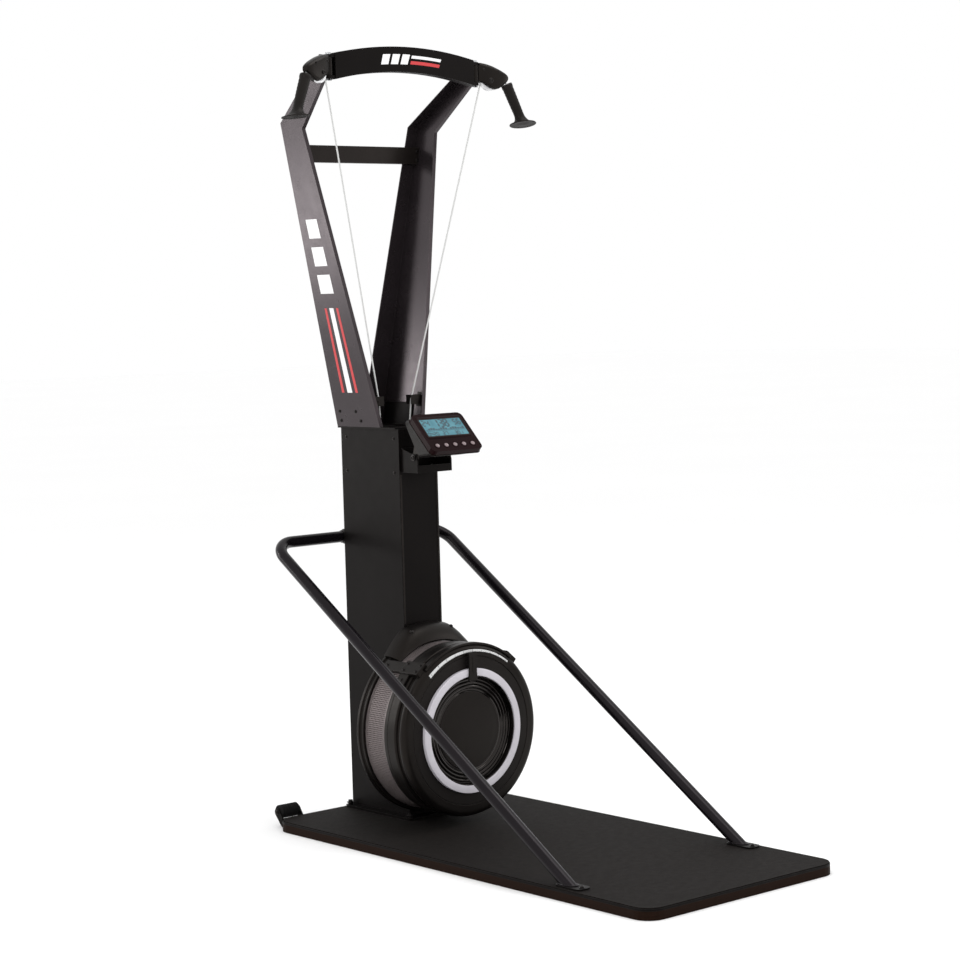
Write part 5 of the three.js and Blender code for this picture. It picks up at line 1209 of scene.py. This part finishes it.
def new_handrail():
    low = FOOT_TOP - RAIL_RADIUS
    corners = [(-RAIL_X, rail_y(low), low), (-RAIL_X, RAIL_Y, RAIL_TOP), (RAIL_X, RAIL_Y, RAIL_TOP),
               (RAIL_X, rail_y(low), low)]
    points = route(corners, [RAIL_BEND, RAIL_BEND], 22)
    rail = tube("rail_tube", points, RAIL_RADIUS, 40, COAT_RAIL, hides=["handrail"], sharp=50)
    carve(rail, [box(*BELOW_FEET)])
    meet_y = rail_y(FOOT_TOP)
    foot_z = PLATFORM_TOP + 4.3
    collar = mirrored([(16.05, -5), (17.2, -5), (17.9, -4)])
    for side, name in SIDES:
        ring = circle(Vector((side * RAIL_X, meet_y, foot_z + 0.9)), Vector(RIGHT),
                      Vector(BACK) / math.sin(RAIL_SLOPE), 16.6, 48)
        tube(f"rail_weld_{name}", ring + ring[:1], 2.0, 8, COAT_RAIL)
        places = [(side * RAIL_X, meet_y + ahead, foot_z) for ahead in (-49, 18)]
        screws(f"rail_foot_screws_{name}", places, UP, FOOT_SCREW)
    places = [(x, COLUMN_REAR + 5.3, RAIL_TOP + dz) for x in (-34, 34) for dz in (-32, 32)]
    screws("clamp_screws", places, BACK, CLAMP_BOLT, shape=hex_shape)
    for side, name in SIDES:
        turned(f"clamp_collar_{name}", collar, (side * 56, RAIL_Y, RAIL_TOP), RIGHT, 48, PLASTIC)


def new_wheels():
    half = [(5.3, -32), (9, -32), (9.6, -31), (13, -31), (13.6, -32), (15.4, -32), (19, -28.4)]
    treads = []
    for middle in spread(-22.2, 22.2, 6):
        treads += [(19, middle - 2.6), (17.9, middle - 1.9), (17.9, middle + 1.9), (19, middle + 2.6)]
    for side, name in SIDES:
        turned(f"wheel_tread_{name}", mirrored(half, treads), (side * WHEEL_X, WHEEL_Y, WHEEL_Z), RIGHT, 56,
               WHEEL_RUBBER, f"wheel_{name}", hides=[f"transport_wheel_{name}"])
        for sign, out, tag in ((-1, LEFT, "a"), (1, RIGHT, "b")):
            spot = (side * WHEEL_X + sign * 36.6, WHEEL_Y, WHEEL_Z)
            screws(f"wheel_axle_cap_{name}_{tag}", [spot], out, WHEEL_CAP)


# Console

CONSOLE_Y = COLUMN_FRONT - 126.5
CONSOLE_Z = COLUMN_TOP - 7
DIAGONAL = math.sqrt(0.5)
FACE_UP = Vector((0, DIAGONAL, DIAGONAL))
FACE_OUT = Vector((0, -DIAGONAL, DIAGONAL))
SCREEN_MIDDLE = (0, 17)
# Widths, heights and corner radii on the screen
BEZEL_OUTER = (158, 81, 7)
BEZEL_CREST = (154, 77, 6)
BEZEL_HOLE = (148.4, 66.4, 3)
GLASS_SIZE = (148, 66, 3)
PICTURE_SIZE = (142, 60, 2)
SEAM_SIZE = (179.2, 137.2, 15.6)
BUTTON_SPACING = 31
BUTTON_LEVEL = -47
BAR_COUNT = 16
BAR_PITCH = 7.6
BAR_WIDTH = 5.4
FIGURE_GROWTH = 1.12
FIGURE_LIFT = 0.5
# The screen's numbers: text, place, width and height of a digit, and width of a stroke
FIGURES = (
    ("24", -60, 24, 8, 16, 3.3),
    ("138", -22, 19, 10, 24, 4.4),
    ("56", 38, 24, 8, 16, 3.3),
    ("0420", -60, -8, 5.5, 10, 2.4),
    ("27", -14, -8, 5.5, 10, 2.4),
    ("301", 24, -8, 5.5, 10, 2.4),
)


def on_face(x, y, z=0):
    """A point of the console by its own across, upward and outward distances."""
    return Vector((x, CONSOLE_Y, CONSOLE_Z)) + FACE_UP * y + FACE_OUT * z


def face_ring(name, corners, material):
    """A closed ring on the console's face, from pairs of an outline and a height over the face."""
    rings = [[on_face(x, y, z) for x, y in outline] for outline, z in corners]
    piece(name, skin(rings, closed=True), material, "console", sharp=50)


def figure_shape(outline):
    """A mark of the screen, grown from the screen's middle to fill the glass."""
    middle = SCREEN_MIDDLE[1]
    grown = [(x * FIGURE_GROWTH, middle + (y - middle) * FIGURE_GROWTH) for x, y in outline]
    return plate_shape(grown, on_face(0, 0, FIGURE_LIFT), RIGHT, FACE_UP, 0.25)


def block_outline(left, low, width, height):
    return [(left, low), (left + width, low), (left + width, low + height), (left, low + height)]


def new_console():
    sizes = (BEZEL_OUTER, BEZEL_CREST, BEZEL_HOLE, PICTURE_SIZE)
    outer, crest, hole, picture = (rounded_outline(*size, 5, SCREEN_MIDDLE) for size in sizes)
    face_ring("screen_bezel", ((outer, 0.02), (crest, 1.6), (hole, 1.2), (hole, 0.02)), BEZEL)
    glass = plate_shape(rounded_outline(*GLASS_SIZE, 5), on_face(*SCREEN_MIDDLE, 0.03), RIGHT, FACE_UP, 0.5)
    piece("screen_glass", glass, SCREEN, "console", hides=["console_screen"])
    face_ring("screen_mask", ((hole, 0.54), (hole, 0.9), (picture, 0.9), (picture, 0.54)), GLOSS)

    marks = []
    for text, x, y, width, height, stroke in FIGURES:
        for outline in digit_strokes(text, width, height, stroke):
            marks.append(figure_shape([(x + px, y + py) for px, py in outline]))
    for k in range(BAR_COUNT):
        height = 2 + 6 * abs(math.sin(k * 0.7))
        marks.append(figure_shape(block_outline(-60 + k * BAR_PITCH, 9, BAR_WIDTH, height)))
    marks.append(figure_shape(block_outline(-61, 6, 122, 1.1)))
    piece("screen_figures", together(marks), LCD_INK, "console")

    # Each button is a pale cap, a painted highlight, inside a dark ring.
    cap = [(0, -3.6), (6.4, -3.6), (6.4, 0.9), (5.5, 1.9), (4.0, 1.5), (0, 1.3)]
    ring = [(7.3, -0.6), (10.6, -0.6), (10.6, 0.4), (9.9, 1.0), (7.9, 1.0), (7.3, 0.4)]
    for number in range(1, 6):
        spot = on_face((number - 3) * BUTTON_SPACING, BUTTON_LEVEL)
        turned(f"button_cap_{number}", cap, spot, FACE_OUT, 40, BUTTON_HIGHLIGHT, f"button_{number}",
               hides=[f"console_button_{number}"])
        turned(f"button_ring_{number}", ring, spot, FACE_OUT, 40, BEZEL, "console")
    seam = [on_face(x, y, -16.2) for x, y in rounded_outline(*SEAM_SIZE, 8)]
    tube("console_seam", seam + seam[:1], 0.9, 8, PLASTIC, "console")
    for number, sign, out in ((1, -1, LEFT), (2, 1, RIGHT)):
        spot = (sign * 62.8, COLUMN_FRONT - 55, COLUMN_TOP - 76)
        screws(f"console_hinge_cap_{number}", [spot], out, HINGE_CAP)
    places = [(x, COLUMN_FRONT - 4.4, COLUMN_TOP - 104) for x in (-44, 44)]
    screws("bracket_screws", places, FORWARD, BRACKET_SCREW)


# Inner pieces and guide rollers

ROLLER_X = GUIDE_X + CORD_RADIUS + 8.6
BUNGEE_TOP = 909.7


def new_drive():
    shaft = [(0, -138), (7, -138), (8, -137), (8, 149), (7, 150), (0, 150)]
    around_hub("shaft_bar", shaft, 48, STEEL, body="flywheel", hides=["drive_shaft"])
    half = [(8.3, 0), (45, 0), (46, 1), (46, 2), (45, 3)]
    grooves = []
    for along in spread(3.4, 18.4, 5):
        grooves += [(40, along), (39.2, along + 0.7), (39.2, along + 1.7), (40, along + 2.4)]
    drum = mirrored(half, grooves, DRUM_HALF)
    for name, start in DRUM_STARTS.items():
        turned(f"drum_wheel_{name}", drum, (0, COLUMN_FRONT + start, AXIS), BACK, 72, PLASTIC,
               f"cord_drum_{name}", hides=[f"cord_drum_{name}"])
        y = COLUMN_FRONT + start + DRUM_HALF
        tube(f"bungee_{name}", route([(44.3, y, AXIS), (44.3, y, BUNGEE_TOP)], [], 1, 20), 4, 16, BUNGEE,
             hides=[f"return_bungee_{name}"])
    race = [(8.3, 0.4), (8.7, 0), (12, 0), (12.4, 0.6), (16, 0.6), (16.4, 0), (19.4, 0), (20, 0.6)]
    for name, start in (("front", COLUMN_FRONT - 17), ("rear", COLUMN_FRONT + 124)):
        turned(f"bearing_race_{name}", mirrored(race, about=7), (0, start, AXIS), BACK, 56, STEEL,
               hides=[f"bearing_{name}"])


def new_guide_rollers():
    roller = mirrored([(2.4, -8), (7.2, -8), (8, -7.2), (8, -5.4), (7.2, -3)])
    for side, name in SIDES:
        turned(f"roller_{name}", roller, (side * ROLLER_X, GUIDE_Y, GUIDE_Z), BACK, 32, STEEL,
               f"guide_roller_{name}", hides=[f"guide_roller_{name}"])


# Finishes of the CAD nodes that stay, with the nodes whose edges are rounded

NODE_BEVELS = {
    0.6: ("cord_guide_right", "cord_guide_left", "bungee_anchor", "column_rear_cover"),
    1.0: ("platform_mat", "wheel_fork_right", "wheel_fork_left"),
    1.2: ("column_foot_plate", "arm_yoke", "arm_right", "arm_left", "arm_crossbar", "rail_foot_right",
          "rail_foot_left", "handrail_clamp", "console_bracket"),
    1.3: ("top_beam",),
    1.4: ("column_shell",),
    1.6: ("platform_board", "console_front"),
    2.0: ("console_rear",),
}


def finish_nodes():
    slots = {part["node"]: part["material_slot"] for part in frame["record"]["subparts"]}
    for name, thing in frame["nodes"].items():
        if thing.type != "MESH":
            continue
        for slot in thing.material_slots:
            slot.material = SPECIAL_LOOKS.get(name, LOOKS[slots[name]][0])
    for width, names in NODE_BEVELS.items():
        for name in names:
            rounded(frame["nodes"][name], width, 3, 25)


# Studio; its lights have a place, a target, two sizes and a power, in metres and watts

LIGHTS = (
    ("rear_left_low", (-2.35, 3.5, 0.98), (-0.1, 0.66, 1.5), (1.2, 0.5), 12),
    ("rear_left_high", (-2.2, 3.5, 1.9), (0.1, 0.66, 1.3), (1.2, 0.5), 15),
    ("front_left", (-3.6, -1.2, 3.0), (0, 0.2, 0.6), (1.4, 1.4), 26),
    ("overhead", (0.6, -0.4, 3.6), (0, 0, 0), (1.6, 1.6), 22),
    ("front_right", (2.6, -1.4, 1.9), (0, 0.28, 0.3), (0.7, 0.7), 10),
)
FLOOR_HALF = 40
FLOOR_DROP = -0.0004


def new_studio():
    scene = bpy.context.scene
    world = bpy.data.worlds.new("studio")
    scene.world = world
    world.use_nodes = True
    surround = world.node_tree.nodes["Background"]
    surround.inputs["Color"].default_value = (1, 1, 1, 1)
    surround.inputs["Strength"].default_value = 1.0

    mesh = bpy.data.meshes.new("studio_floor")
    corners = [(x * FLOOR_HALF, y * FLOOR_HALF, FLOOR_DROP) for x, y in ((-1, -1), (1, -1), (1, 1), (-1, 1))]
    mesh.from_pydata(corners, [], [(0, 1, 2, 3)])
    floor = bpy.data.objects.new("studio_floor", mesh)
    scene.collection.objects.link(floor)
    surface = Surface("studio_floor", 0.9, 0.1)
    surface.colour(surface.noise(0.6, 2), (0.992, 0.992, 0.992), (1, 1, 1))
    mesh.materials.append(surface.material)

    for name, place, target, size, power in LIGHTS:
        data = bpy.data.lights.new(name, "AREA")
        data.shape = "RECTANGLE"
        data.size, data.size_y = size
        data.energy = power
        lamp = bpy.data.objects.new(name, data)
        lamp.location = place
        lamp.rotation_euler = (Vector(target) - Vector(place)).to_track_quat("-Z", "Y").to_euler()
        scene.collection.objects.link(lamp)

    view = scene.view_settings
    view.view_transform = "Standard"
    view.look = "None"
    view.exposure = 0
    view.gamma = 1


for build in (
    new_camera, new_studio, new_cords, new_base, new_column, new_arms, new_housing, new_band,
    new_ears, new_damper, new_cowl, new_fan, new_heads, new_handrail, new_wheels, new_console,
    new_drive, new_guide_rollers,
):
    build()
finish_nodes()
